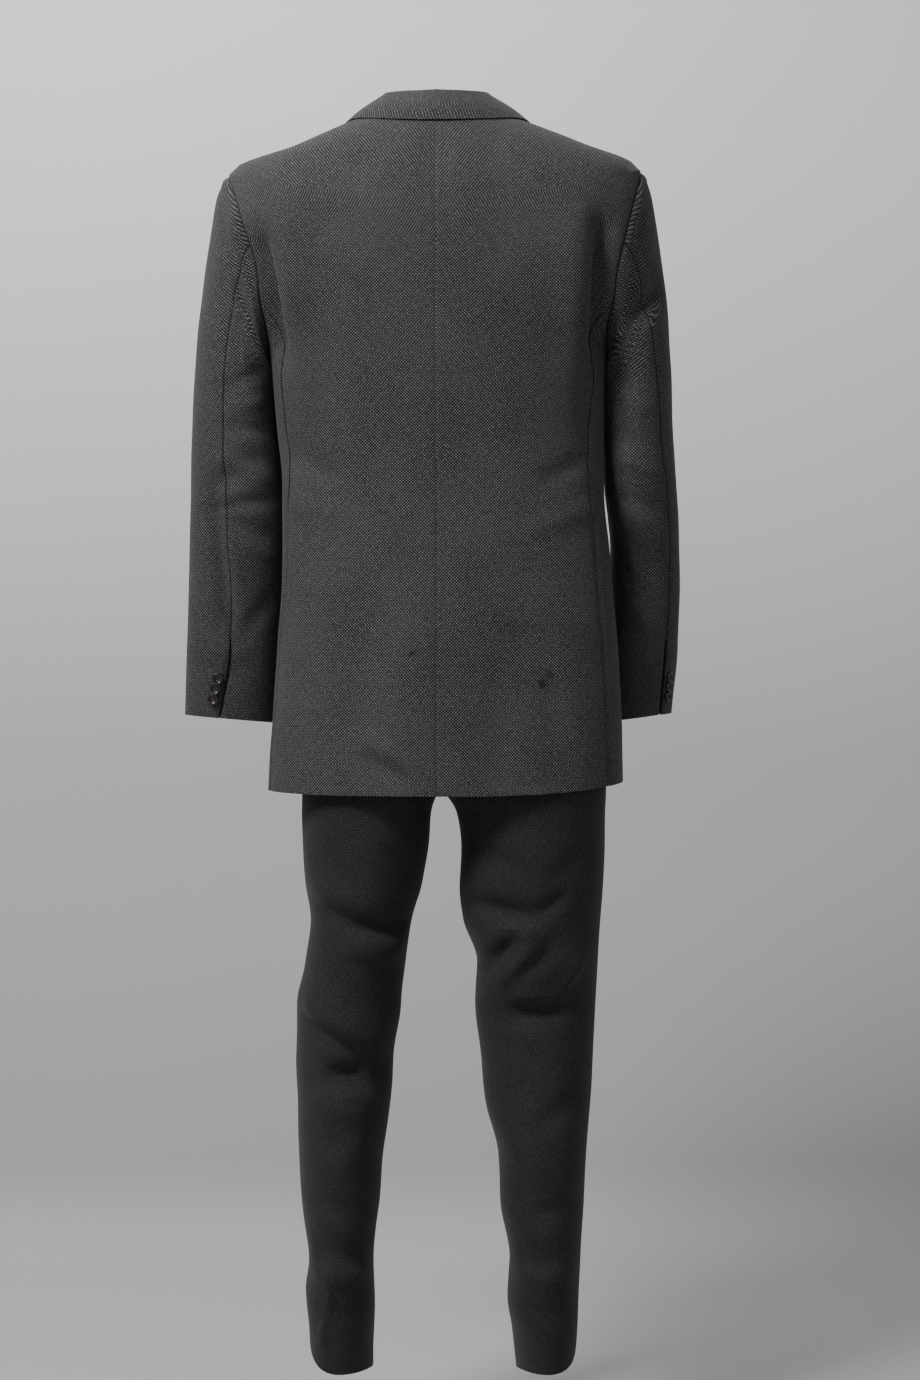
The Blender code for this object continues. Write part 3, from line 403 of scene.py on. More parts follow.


# %% [markdown]
# Between its large folds worn wool has small ones: troughs from the armholes, the crush inside an
# elbow, drag lines under the seat and cloth that pools over a knee. Noise would put them anywhere.
# They are listed one by one, uneven in length, depth and spacing as in the photograph, and those in
# front, which it doesn't show, are like them.

# %% The small creases of the cloth
BODY_CREASES = table(
    FOLD_COLUMNS,
    ("left armhole line", 1, 203, -160, 184, -270, 7, -3.7),
    ("left armhole ripple", 1, 190, -175, 172, -262, 6, 1.8),
    ("left underarm pull", 1, 186, -270, 160, -330, 9, -3.0),
    ("left waist drag", 1, 172, -395, 120, -430, 11, -2.1),
    ("left waist drag low", 1, 176, -455, 110, -478, 12, 1.7),
    ("right armhole line", 1, -193, -140, -189, -272, 8, -4.6),
    ("right armhole ripple", 1, -178, -150, -176, -250, 7, 2.1),
    ("right blade line", 1, -168, -285, -176, -390, 10, -2.5),
    ("right waist drag", 1, -184, -400, -120, -440, 12, -2.2),
    ("right waist drag low", 1, -188, -462, -110, -492, 12, 1.8),
    ("nape pull left", 1, 58, -52, 96, -82, 11, -1.5),
    ("nape pull right", 1, -54, -50, -98, -84, 11, -1.5),
    ("hem wave left", 1, 84, -752, 30, -782, 10, -3.0),
    ("hem wave left lip", 1, 92, -730, 40, -758, 11, 1.8),
    ("hem wave far left", 1, 150, -640, 158, -790, 22, -2.5),
    ("hem wave right", 1, -132, -650, -138, -792, 24, -3.0),
    ("seat wave", 1, 30, -600, 36, -740, 34, 2.3),
    ("left chest drag", -1, 190, -280, 132, -330, 12, -2.8),
    ("right chest drag", -1, -190, -280, -132, -330, 12, -2.8),
    ("left button pull", -1, 14, -486, 92, -520, 10, -2.5),
    ("right button pull", -1, -30, -486, -96, -516, 10, -2.5),
    ("left button pull high", -1, 16, -462, 88, -410, 10, 1.8),
    ("left skirt wave", -1, 128, -600, 140, -792, 24, -3.0),
    ("right skirt wave", -1, -132, -600, -142, -788, 22, -3.0),
)
SLEEVE_CREASES = {
    LEFT: table(
        FOLD_COLUMNS,
        ("cap ripple a", 1, 252, -112, 246, -170, 7, -2.1),
        ("cap ripple b", 1, 240, -180, 236, -262, 6, 1.8),
        ("underarm crush a", 1, 204, -300, 246, -322, 8, -3.2),
        ("underarm crush b", 1, 200, -336, 240, -344, 8, 2.3),
        ("underarm crush c", 1, 196, -372, 250, -366, 9, -2.8),
        ("elbow crush a", 1, 196, -428, 262, -404, 9, 2.5),
        ("elbow crush b", 1, 196, -452, 276, -462, 9, -3.4),
        ("elbow crush c", 1, 198, -520, 250, -488, 9, 2.8),
        ("back trough deep", 1, 268, -440, 250, -598, 9, -3.9),
        ("back trough lip", 1, 254, -450, 234, -588, 9, 2.8),
        ("forearm drag", 1, 196, -560, 236, -620, 11, -2.5),
        ("cuff ripple", 1, 220, -640, 262, -668, 11, -1.8),
        ("front crush a", -1, 200, -330, 262, -352, 9, -2.8),
        ("front crush b", -1, 202, -380, 276, -402, 10, -3.4),
        ("front crush c", -1, 206, -440, 284, -466, 10, 3.0),
        ("front crush d", -1, 210, -500, 280, -484, 10, -3.0),
        ("front crush e", -1, 214, -540, 274, -556, 12, -2.1),
    ),
    RIGHT: table(
        FOLD_COLUMNS,
        ("cap crease lip", 1, -232, -268, -256, -236, 12, 1.2),
        ("cap crease fine", 1, -226, -226, -256, -190, 8, -1.2),
        ("cap ripple", 1, -238, -120, -236, -176, 7, -1.8),
        ("underarm crush a", 1, -208, -292, -226, -330, 7, -3.0),
        ("underarm crush b", 1, -216, -322, -240, -352, 8, 2.3),
        ("elbow crush a", 1, -212, -372, -248, -392, 8, -3.0),
        ("elbow crush b", 1, -208, -398, -262, -424, 9, 2.5),
        ("elbow crush c", 1, -212, -446, -268, -466, 9, -2.8),
        ("forearm crush a", 1, -212, -520, -252, -566, 9, -3.0),
        ("forearm crush b", 1, -222, -560, -258, -604, 10, 2.3),
        ("cuff ripple", 1, -222, -640, -252, -664, 10, -1.8),
        ("front crush a", -1, -206, -330, -262, -352, 9, -2.8),
        ("front crush b", -1, -208, -384, -270, -398, 10, -3.4),
        ("front crush c", -1, -212, -440, -276, -462, 10, 3.0),
        ("front crush d", -1, -214, -506, -272, -486, 10, -3.0),
        ("front crush e", -1, -220, -548, -266, -560, 12, -2.1),
    ),
}
LEG_CREASES = {
    LEFT: table(
        FOLD_COLUMNS,
        ("seat fold edge", 1, 100, -962, 30, -968, 6, 5.4),
        ("seat fold tail", 1, 128, -930, 96, -946, 9, -4.3),
        ("under seat drag a", 1, 146, -860, 96, -900, 12, -3.0),
        ("under seat drag b", 1, 60, -856, 26, -890, 12, -3.0),
        ("thigh ripple", 1, 150, -900, 104, -924, 10, 2.7),
        ("knee ridge edge", 1, 148, -1046, 66, -1096, 8, 4.9),
        ("knee hollow", 1, 146, -1062, 84, -1104, 10, -5.4),
        ("knee pocket edge", 1, 126, -1118, 80, -1118, 7, -5.4),
        ("knee pocket lip edge", 1, 132, -1142, 78, -1146, 7, 4.9),
        ("calf drag a", 1, 150, -1180, 106, -1214, 12, -3.2),
        ("calf drag b", 1, 84, -1190, 118, -1236, 12, 2.7),
        ("shin ripple", 1, 146, -1264, 96, -1282, 10, -3.5),
        ("pinch lip", 1, 150, -1350, 84, -1356, 10, 4.6),
        ("pinch tail", 1, 146, -1310, 112, -1322, 8, -3.5),
        ("break ripple", 1, 132, -1392, 92, -1404, 10, -3.0),
        ("pressed line", 1, 120, -1350, 132, -1436, 5, 3.2),
        ("front knee crush", -1, 144, -1090, 82, -1112, 12, 3.8),
        ("front calf drag", -1, 140, -1200, 96, -1240, 14, -3.5),
        ("front break crush", -1, 146, -1370, 90, -1376, 9, 4.6),
        ("front break low", -1, 144, -1424, 92, -1430, 9, -4.1),
        ("front pressed line", -1, 84, -620, 118, -1420, 4, 1.9),
    ),
    RIGHT: table(
        FOLD_COLUMNS,
        ("seat fold edge", 1, -38, -936, -112, -956, 6, 5.4),
        ("seat fold tail", 1, -118, -936, -152, -910, 9, -4.1),
        ("under seat drag a", 1, -44, -850, -92, -888, 12, -3.2),
        ("under seat drag b", 1, -176, -860, -130, -900, 12, -2.7),
        ("thigh ridge edge", 1, -118, -966, -76, -1020, 7, 4.6),
        ("thigh hollow", 1, -96, -958, -58, -1004, 8, -4.6),
        ("knee ridge edge", 1, -88, -1034, -140, -1030, 8, 4.6),
        ("knee ridge arm", 1, -140, -1030, -168, -990, 8, 4.3),
        ("knee hollow edge", 1, -84, -1052, -150, -1048, 9, -4.6),
        ("knee low drag", 1, -70, -1086, -128, -1112, 12, -3.2),
        ("calf drag a", 1, -164, -1150, -112, -1186, 12, -3.2),
        ("calf drag b", 1, -84, -1200, -122, -1240, 12, 3.0),
        ("shin ripple", 1, -160, -1270, -104, -1288, 11, -3.2),
        ("pinch lip", 1, -92, -1352, -150, -1358, 10, 4.3),
        ("break ripple", 1, -104, -1392, -146, -1402, 10, -3.0),
        ("front knee crush", -1, -144, -1090, -90, -1112, 12, 3.8),
        ("front calf drag", -1, -150, -1200, -104, -1240, 14, -3.5),
        ("front break crush", -1, -158, -1370, -100, -1376, 9, 4.6),
        ("front break low", -1, -156, -1424, -102, -1430, 9, -4.1),
        ("front pressed line", -1, -92, -620, -128, -1420, 4, 1.9),
    ),
}


def joined(first, second, deeper):
    """One table of folds from two, with each fold this much deeper than in the solids."""
    both = {name: np.concatenate([first[name], second[name]]) for name in first}
    both["high"] = both["high"] * deeper
    return both


BODY_ALL = joined(BODY_FOLDS, BODY_CREASES, 1.8)
SLEEVE_ALL = {side: joined(SLEEVE_FOLDS[side], SLEEVE_CREASES[side], 1.2) for side in SIDES}
LEG_ALL = {side: joined(LEG_FOLDS[side], LEG_CREASES[side], 1.35) for side in SIDES}
print(len(BODY_ALL["wide"]), "folds and creases on the jacket's body")


# %% [markdown]
# These are the forms that the panels are cut from: rings for the body, a tube for each sleeve and
# leg, and a band for the collar. Panels could be modelled one by one and pushed together. As
# patches of one surface they share their seams, as pieces cut from one pattern do.

# %% The jacket's body as one surface
def ring_reach(turn, half_right, half_left, back, front, power):
    """How far a ring reaches from its middle at each turn. Turn 0 is the back and 90 the left."""
    s, c = sine_cosine(turn)
    wide = np.where(s > 0, half_left, half_right)
    deep = np.where(c > 0, back, front)
    return (np.abs(s / wide) ** power + np.abs(c / deep) ** power) ** (-1 / power)


def body_ring(turn, row):
    """A point of the jacket body's rings, before the cloth between them is eased."""
    column = ring_at(BODY, row)
    s, c = sine_cosine(turn)
    power = np.where(c > 0, column["power"], column["front_power"])
    sizes = (column[name] for name in ("right", "left", "back", "front"))
    reach = ring_reach(turn, *sizes, power)
    side_z = column["side_z"] + column["right_lift"] * smooth_step(-s)
    middle_z = np.where(c > 0, column["back_z"], column["front_z"])
    deep = np.where(c > 0, column["back"], column["front"])
    beyond = np.maximum(-row, 0) * ROW_TALL["neck"]
    beyond = beyond - np.maximum(row - HEM_ROW, 0) * ROW_TALL["body"]
    z = side_z + (middle_z - side_z) * (reach * c / deep) ** 2 + beyond
    return points(reach * s, reach * c, z)


def body_rest(turn, row):
    """The body's rings, eased into each other away from the shoulders, armholes and neck."""
    turn, row = same_shape(turn, row)
    beside = np.abs((turn + 180) % 360 - 180)
    ease = smooth_step((80 - np.minimum(beside, 180 - beside)) / 45) * smooth_step(row / 0.8)
    eased_rings = sum(weight * body_ring(turn, row + step) for step, weight in EASE_STEPS)
    exact = body_ring(turn, row)
    return exact + (eased_rings - exact) * ease[..., None]


def front_turn(row, x, side):
    """The turn on the front where the ring is at x, measured from the centre front to this side."""
    half = np.where(x > 0, along(BODY, SIDES[side], row), along(BODY, SIDES[-side], row))
    power = along(BODY, "front_power", row)
    deep = along(BODY, "front", row) * (1 - np.abs(x / half) ** power) ** (1 / power)
    return 180 - np.degrees(np.arctan2(x, deep))


def armhole_row(swing):
    """The row of the armhole at each swing round it: 0 at the shoulder point, 180 under the arm."""
    middle = (SHOULDER_ROW + UNDERARM_ROW) / 2
    half = (UNDERARM_ROW - SHOULDER_ROW) / 2
    return middle - half * np.cos(np.radians(swing))


def armhole_turn(swing):
    """The armhole's turn round the body: its back half is before 90 and its front half after."""
    s = np.sin(np.radians(swing))
    return 90 - np.where(s > 0, ARMHOLE_BACK, ARMHOLE_FRONT) * s


# %% A sleeve, a leg and the collar as surfaces
def sleeve_rest(side):
    """A tube from armhole to cuff. Swing 0 is its outer line, 90 its back, 180 its inner line."""
    rings = SLEEVES[side]

    def ring(swing, row):
        column = ring_at(rings, row)
        s, c = sine_cosine(swing - column["twist"])
        deep = np.where(s > 0, column["back"], column["front"])
        reach = (np.abs(c) ** SLEEVE_ROUND + np.abs(s) ** SLEEVE_ROUND) ** (-1 / SLEEVE_ROUND)
        out, inn = column["out_x"], column["in_x"]
        x = (out + inn) / 2 + (out - inn) / 2 * reach * c
        high, low = column["out_z"], column["in_z"]
        z = (high + low) / 2 + (high - low) / 2 * reach * c
        y = column["middle_y"] + deep * reach * s
        return points(side * x, y, z - np.maximum(row - HEM_ROW, 0) * ROW_TALL["sleeve"])

    def surface(swing, row):
        swing, row = same_shape(swing, row)
        swings, which = np.unique(swing, return_inverse=True)
        armhole = on_side(side)(armhole_turn(swings), armhole_row(swings))
        moved = (armhole - ring(swings, np.zeros_like(swings)))[which.reshape(swing.shape)]
        pull = smooth_step(1 - np.maximum(row, 0) / ARMHOLE_PULL)
        return ring(swing, row) + moved * pull[..., None]

    return surface


def leg_rest(side):
    """A leg, a ring for each row. Turn 0 is its back, 90 its outer line and -90 its inner line."""
    name = SIDES[side]
    rise = {key: value[0 if side == LEFT else 1] for key, value in HEM_RISE.items()}

    def surface(turn, row):
        turn, row = same_shape(turn, row)
        column = ring_at(LEGS, row)
        span = side * (column[name] - CENTRE_X)
        half = (1 - column[name + "_merge"]) * span
        middle = column[name + "_merge"] * span
        reach = ring_reach(turn, half, half, column["back"], column["front"], column["power"])
        s, c = sine_cosine(turn)
        x = CENTRE_X + side * (middle + reach * s + SEAM_GAP / 2)
        lift = rise["outer"] * np.maximum(s, 0) ** 2 + rise["inner"] * np.minimum(s, 0) ** 2
        lift = lift + rise["front"] * np.minimum(c, 0) ** 2
        beyond = np.maximum(-row, 0) * ROW_TALL["waist"]
        beyond = beyond - np.maximum(row - LEG_HEM_ROW, 0) * ROW_TALL["leg"]
        z = column["z"] + lift * column["lift"] + beyond
        return points(x, column["middle_y"] + reach * c, z)

    return surface


def rise_turn(row, front):
    """The turn where a leg's ring meets the seat seam, or its inner line below the crotch."""
    merge = along(LEGS, "left_merge", row)
    ratio = np.clip(merge / (1 - merge), 0, 1)
    deep = along(LEGS, "front" if front else "back", row)
    half = (1 - merge) * (along(LEGS, "left", row) - CENTRE_X)
    power = along(LEGS, "power", row)
    turn = np.degrees(np.arctan2(ratio * half, deep * (1 - ratio**power) ** (1 / power)))
    return np.where(np.asarray(row) >= CROTCH_ROW, 90.0, turn)


def collar_surface(turn, share):
    """The cloth of the collar, from the neck seam up the stand, over the fold and down the fall."""
    turn, share = same_shape(turn, share)
    place = np.interp(np.abs(turn), COLLAR["turn"], np.arange(len(COLLAR["turn"])))
    column = ring_at(COLLAR, place)
    mid_turn = turn - np.sign(turn) * column["mid_back"]
    fall_turn = turn - np.sign(turn) * column["fall_back"]
    s, c = sine_cosine(turn)
    radial = points(s, c, np.zeros_like(s))
    up = points(0 * s, 0 * s, np.ones_like(s))
    seat = body_rest(turn, column["neck_row"])
    fold = seat + up * column["stand"][..., None] - radial * column["lean"][..., None]
    stand = seat - radial * 0.5 + up * 1.1
    lie = CLEAR + THIN_WALL
    edge_row, mid_row = column["fall_row"], column["mid_row"]
    edge = lifted(body_rest, fall_turn, edge_row, lie)
    resting = lifted(body_rest, mid_turn, mid_row, lie + 1.5)
    inside = fold - radial * FOLD_ROUND * 0.5 - up * FOLD_ROUND * 0.6
    outside = fold + radial * FOLD_ROUND * 0.9 - up * FOLD_ROUND * 0.7
    low_stand = stand * 0.45 + inside * 0.55 - radial
    hanging = edge * 0.5 + outside * 0.5 + radial * 2.5
    at_front = smooth_step((np.abs(turn) - 112) / 16)[..., None]
    draped = np.where(hanging[..., 2:] > resting[..., 2:], hanging, resting)
    mid_fall = draped + (resting - draped) * at_front
    knots = np.stack([stand, low_stand, inside, fold, outside, mid_fall, edge])
    position = np.interp(share, COLLAR_SHARES, np.arange(7))
    slopes = np.gradient(knots, axis=0)
    low = np.clip(np.floor(position).astype(int), 0, 5)[None, ..., None]
    t = (position - low[0, ..., 0])[..., None]
    start, end = (np.take_along_axis(knots, low + i, 0)[0] for i in (0, 1))
    leave, arrive = (np.take_along_axis(slopes, low + i, 0)[0] for i in (0, 1))
    ease = t * t * (3 - 2 * t)
    return start + (end - start) * ease + t * (1 - t) ** 2 * leave - t * t * (1 - t) * arrive
# %% [markdown]
# A tailored panel is cut flat, shaped with the iron, and its edges turn inwards at each seam. So a
# panel is made as a grid on its surface, its edges roll in a little, and a second skin lies one
# cloth's thickness inside it. A Solidify modifier could give the thickness, but not the rolled
# edges or the shared line of the armhole. The grid is closer near its edges, where the roll needs
# points, and its UV map holds real metres along the cloth, so a weave keeps its size anywhere.
# Each seam also gets painted shade: the colour darkens a little along its edge, where the cloth
# turns in.

# %% A panel of cloth as a closed thin shell
CLOSE_STEPS = (1.0, 2.2, 4.0)
LONG_STEPS = (1.0, 2.2, 4.0, 7.0)


def unit_rows(length, wide, edges=CLOSE_STEPS):
    """Shares from 0 to 1 along a length in millimetres, closer together near both ends."""
    near = np.array([0.0, *edges]) / length
    middle = np.linspace(near[-1], 1 - near[-1], max(2, int(length / wide)))
    return np.concatenate([near[:-1], middle, 1 - near[:-1][::-1]])


def run_lengths(place, axis):
    """The length along the cloth from the first row or column to each."""
    steps = np.linalg.norm(np.diff(place, axis=axis), axis=-1)
    first = np.zeros_like(np.take(steps, [0], axis=axis))
    return np.concatenate([first, np.cumsum(steps, axis=axis)], axis=axis)


def eased(grid, by):
    """The grid with its edges drawn in along the cloth, which leaves the gap of a seam."""
    grid = grid.copy()
    for edge, inner in ((0, 1), (-1, -2)):
        grid[edge] += unit(grid[inner] - grid[edge]) * by
        grid[:, edge] += unit(grid[:, inner] - grid[:, edge]) * by
    return grid


def near_edges(place, edges, wide):
    """1 at the edges named (top, bottom, start, end), and near 0 from about twice this width."""
    across, down = run_lengths(place, 1), run_lengths(place, 0)
    reach = {
        "start": across,
        "end": across[:, -1:] - across,
        "top": down,
        "bottom": down[-1:] - down,
    }
    total = np.zeros(place.shape[:2])
    for name in edges:
        total = total + np.exp(-((reach[name] / wide) ** 2))
    return np.minimum(total, 1.0)


def seam_shade(place, strong, faint=(), faint_below=None):
    """How much painted shade a seam puts on each point: full beside strong edges, less beside faint
    or low ones.
    """
    dark = near_edges(place, strong, SEAM_SHADE)
    if faint_below is not None:
        dark[faint_below:] *= FAINT
    return np.maximum(dark, near_edges(place, faint, SEAM_SHADE) * FAINT)


def sunk_edges(place, through, edges, sink=SEAM_SINK, wide=SEAM_WIDE):
    """The panel with its named edges bent inwards, as at a seam or where a flap ends."""
    return place - through * (near_edges(place, edges, wide) * sink)[..., None]


def grid_faces(number, place):
    """Two triangles for each square of a grid, split along its shorter diagonal."""
    a, b, c, d = number[:-1, :-1], number[1:, :-1], number[1:, 1:], number[:-1, 1:]
    pa, pb, pc, pd = place[:-1, :-1], place[1:, :-1], place[1:, 1:], place[:-1, 1:]
    short = np.linalg.norm(pa - pc, axis=-1) <= np.linalg.norm(pb - pd, axis=-1)
    first = np.stack([a, b, np.where(short, c, d)], -1)
    second = np.stack([np.where(short, a, b), c, d], -1)
    return np.concatenate([first.reshape(-1, 3), second.reshape(-1, 3)])


def plumb_grain(place, through):
    """Lengths across and down the cloth at each point, with the threads hanging plumb, as cut."""
    # Of each step across a row, the part that falls is drop, and only the rest is width
    steep = np.sqrt(np.clip(1 - unit(through)[..., 2] ** 2, 0.12, 1))
    across = np.linalg.norm(np.diff(place, axis=1), axis=-1)
    fall = np.diff(place[..., 2], axis=1) / (steep[:, 1:] + steep[:, :-1]) * 2
    fall = np.clip(fall, -0.98 * across, 0.98 * across)
    zero = np.zeros((len(place), 1))
    run = np.concatenate([zero, np.cumsum(np.sqrt(across**2 - fall**2), axis=1)], axis=1)
    drop = np.concatenate([zero, np.cumsum(fall, axis=1)], axis=1)
    middle = place.shape[1] // 2
    down = run_lengths(place[:, middle:middle + 1], 0)
    return run - run[:, middle:middle + 1], drop - drop[:, middle:middle + 1] - down


def placed(name, data):
    """A new object in the scene, with this mesh, light or camera."""
    item = bpy.data.objects.new(name, data)
    bpy.context.scene.collection.objects.link(item)
    return item


def shell(name, place, through, material, thick=CLOTH, plumb=True, shade=None):
    """The closed mesh of a panel, with a UV map in metres, and its flat size."""
    inner = place - through * thick
    rows, columns = place.shape[:2]
    number = np.arange(rows * columns).reshape(rows, columns)
    step = rows * columns
    faces = [grid_faces(number, place), grid_faces(number + step, place)[:, ::-1]]
    for rim in (number[0], number[:, -1], number[-1, ::-1], number[::-1, 0]):
        start, end = rim[:-1], rim[1:]
        faces.append(np.stack([start, end, end + step], -1))
        faces.append(np.stack([start, end + step, start + step], -1))
    faces = np.concatenate(faces)
    corners = np.concatenate([place.reshape(-1, 3), inner.reshape(-1, 3)])
    a, b, c = (corners[faces[:, i]] for i in range(3))
    if np.sum(np.cross(b - a, c - a) * a) < 0:
        faces = faces[:, ::-1]
    mesh = bpy.data.meshes.new(name)
    mesh.from_pydata((corners * MM).tolist(), [], faces.tolist())
    across, down = run_lengths(place, 1), run_lengths(place, 0)
    flat = np.stack(plumb_grain(place, through) if plumb else (across, -down), -1)
    flat = np.concatenate([flat.reshape(-1, 2)] * 2) * MM
    layer = mesh.uv_layers.new(name="cloth")
    loops = np.empty(len(mesh.loops), int)
    mesh.loops.foreach_get("vertex_index", loops)
    layer.data.foreach_set("uv", flat[loops].ravel())
    if shade is not None:
        marked = mesh.attributes.new("seam_shade", "FLOAT", "POINT")
        marked.data.foreach_set("value", np.tile(shade.ravel(), 2))
    mesh.shade_smooth()
    mesh.set_sharp_from_angle(angle=np.radians(50))
    mesh.materials.append(material)
    piece = placed(name, mesh)
    pa, pb, pc, pd = place[:-1, :-1], place[1:, :-1], place[1:, 1:], place[:-1, 1:]
    area = np.linalg.norm(np.cross(pc - pa, pd - pb), axis=-1).sum() / 2 * MM * MM
    width, length = (float(v) for v in np.ptp(flat, axis=0))
    return piece, (width, length), float(area)


finished = []


def wear(node, made):
    piece, flat, area = made
    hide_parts(node)
    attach(piece, "root")
    finished.append(len(piece.data.polygons))
    print(f"{piece.name}: {flat[0] * 100:.1f} x {flat[1] * 100:.1f} cm, {finished[-1]} triangles")


# %% [markdown]
# Both cloths are one wool worsted with a birdseye weave: small pale dots on a near-black ground,
# about two and a half millimetres apart, and a faint nap over them. An image of cloth would repeat
# and blur. Waves across the cloth's own map draw the dots at their true size, noise breaks them up
# as worn yarn does, and a sheen gives the soft pale edge that wool has where it turns away.

# %% Helpers for materials
def linear(code):
    """A colour given as an sRGB hex code, as the linear values that a shader takes."""
    values = [int(code[i:i + 2], 16) / 255 for i in (1, 3, 5)]
    return (*[v / 12.92 if v <= 0.04045 else ((v + 0.055) / 1.055) ** 2.4 for v in values], 1.0)


def feed(tree, node, **inputs):
    """Sets or links a node's inputs, each given by its name or by i and its number."""
    for name, value in inputs.items():
        socket = node.inputs[int(name[1:]) if name[1:].isdigit() else name.replace("_", " ")]
        if isinstance(value, bpy.types.NodeSocket):
            tree.links.new(value, socket)
        else:
            socket.default_value = value
    return node


def add_node(tree, kind, settings=None, **inputs):
    node = tree.nodes.new(kind)
    for name, value in (settings or {}).items():
        setattr(node, name, value)
    return feed(tree, node, **inputs)


def math_node(tree, operation, *values):
    inputs = {f"i{index}": value for index, value in enumerate(values)}
    return add_node(tree, "ShaderNodeMath", {"operation": operation}, **inputs).outputs[0]


def vector_node(tree, operation, *values):
    inputs = {f"i{index}": value for index, value in enumerate(values)}
    return add_node(tree, "ShaderNodeVectorMath", {"operation": operation}, **inputs)


def mixed(tree, share, first, second):
    node = add_node(tree, "ShaderNodeMix", {"data_type": "RGBA"}, i0=share, i6=first, i7=second)
    return node.outputs[2]


def ranged(tree, value, low, high, to_low=0.0, to_high=1.0):
    return add_node(tree, "ShaderNodeMapRange", {"interpolation_type": "SMOOTHSTEP"},
                    i0=value, i1=low, i2=high, i3=to_low, i4=to_high).outputs[0]


def noise(tree, where, scale, detail=2.0, **more):
    """Noise of this many waves to each metre, or to each unit of the map given."""
    return add_node(tree, "ShaderNodeTexNoise", Vector=where, Scale=scale, Detail=detail, **more)


def new_material(name):
    """A material with its node tree, its shader and the place of each point on the object."""
    material = bpy.data.materials.new(name)
    material.use_nodes = True
    tree = material.node_tree
    place = add_node(tree, "ShaderNodeTexCoord").outputs["Object"]
    return material, tree, tree.nodes["Principled BSDF"], place


# %% Birdseye wool
DOT_PITCH = 0.0018
YARN_DRIFT = 0.0007


def birdseye_wool(name, ground, dot, nap, dots_seen, marks=()):
    """Worsted woven in birdseye: pale dots in a checker order on dark yarn, napped by wear."""
    material, tree, shader, place = new_material(name)
    flat = add_node(tree, "ShaderNodeUVMap", {"uv_map": "cloth"}).outputs[0]
    drift = noise(tree, flat, 420.0)
    wander = (YARN_DRIFT, YARN_DRIFT, 0.0)
    shift = vector_node(tree, "MULTIPLY_ADD", drift.outputs["Color"], wander, flat)
    split = add_node(tree, "ShaderNodeSeparateXYZ", Vector=shift.outputs[0])
    waves = [math_node(tree, "SINE", math_node(tree, "MULTIPLY", split.outputs[i], pi / DOT_PITCH))
             for i in range(2)]
    dots = ranged(tree, math_node(tree, "MULTIPLY", *waves), 0.10, 0.62)
    fibre = ranged(tree, noise(tree, flat, 1500.0, Roughness=0.6).outputs[0], 0.32, 0.72)
    streaks = 1.0
    for scales in ((1300.0, 170.0, 1.0), (210.0, 1300.0, 1.0)):
        uneven = noise(tree, vector_node(tree, "MULTIPLY", flat, scales).outputs[0], 1.0)
        strength = ranged(tree, uneven.outputs[0], 0.32, 0.68, 0.45, 1.45)
        streaks = math_node(tree, "MULTIPLY", strength, streaks)
    patchy = noise(tree, place, 9.0, 4.0, Roughness=0.6)
    worn = ranged(tree, patchy.outputs[0], 0.35, 0.68)
    share = dots
    for part in (math_node(tree, "MULTIPLY_ADD", fibre, 0.7, 0.3),
                 math_node(tree, "MULTIPLY_ADD", worn, 0.25, dots_seen), streaks):
        share = math_node(tree, "MULTIPLY", share, part)
    colour = mixed(tree, share, linear(ground), linear(dot))
    colour = mixed(tree, math_node(tree, "MULTIPLY", worn, 0.30), colour, linear(nap))
    seen = add_node(tree, "ShaderNodeSeparateXYZ", Vector=place)
    at_back = ranged(tree, seen.outputs[1], 0.0, 0.03)
    face_on = vector_node(tree, "MULTIPLY", place, (1.0, 0.0, 1.0))
    for (x, z), size, depth in marks:
        away = vector_node(tree, "DISTANCE", face_on.outputs[0], (x, 0.0, z)).outputs["Value"]
        ragged = math_node(tree, "MULTIPLY_ADD", drift.outputs[0], size * 1.6, away)
        shade = ranged(tree, ragged, size, size * 1.9, depth, 0.0)
        shade = math_node(tree, "MULTIPLY", shade, at_back)
        colour = mixed(tree, shade, colour, linear("#0d0d0e"))
    # Painted shade: the colour darkens towards near black along each seam, where the cloth turns
    # in.
    seam = add_node(tree, "ShaderNodeAttribute", {"attribute_name": "seam_shade"})
    painted_seam_shade = ranged(tree, seam.outputs["Fac"], 0.1, 0.95, 0.0, 0.75)
    colour = mixed(tree, painted_seam_shade, colour, linear("#080808"))
    height = math_node(tree, "MULTIPLY_ADD", dots, 0.5, math_node(tree, "MULTIPLY", fibre, 0.6))
    bump = add_node(tree, "ShaderNodeBump", Height=height, Strength=0.32, Distance=0.0003)
    feed(tree, shader, Base_Color=colour, Normal=bump.outputs[0], Roughness=0.88,
         Specular_IOR_Level=0.22, Sheen_Weight=0.13, Sheen_Roughness=0.45,
         Sheen_Tint=linear("#b9b6b2"))
    return material


# The marks are a dark snag and a stain on the back: each one's place, size and depth
jacket_wool = birdseye_wool(
    "birdseye_wool_jacket", "#1b1b1c", "#929191", "#3f3f3f", 0.86,
    marks=(((0.0275, -0.634), 0.0035, 0.85), ((0.0235, -0.632), 0.002, 0.8),
           ((-0.122, -0.669), 0.0085, 0.75), ((-0.131, -0.659), 0.006, 0.65)),
)
# The trousers take the same wool with darker colours and fewer dots showing: painted shade, as they
# hang lower and less lit than the jacket.
shaded_trouser_wool = birdseye_wool("birdseye_wool_trousers_shaded", "#171718", "#626262", "#28282a", 0.62)
print("wool for jacket and trousers")


# %% [markdown]
# The buttons are dark horn, turned on a lathe and polished, and sewn on with a matt thread. Horn
# could be one even colour. Faint brown streaks and a thin gloss over a satin base are what make it
# read as horn at this size, and the thread's fine bump keeps it from shining like wire.

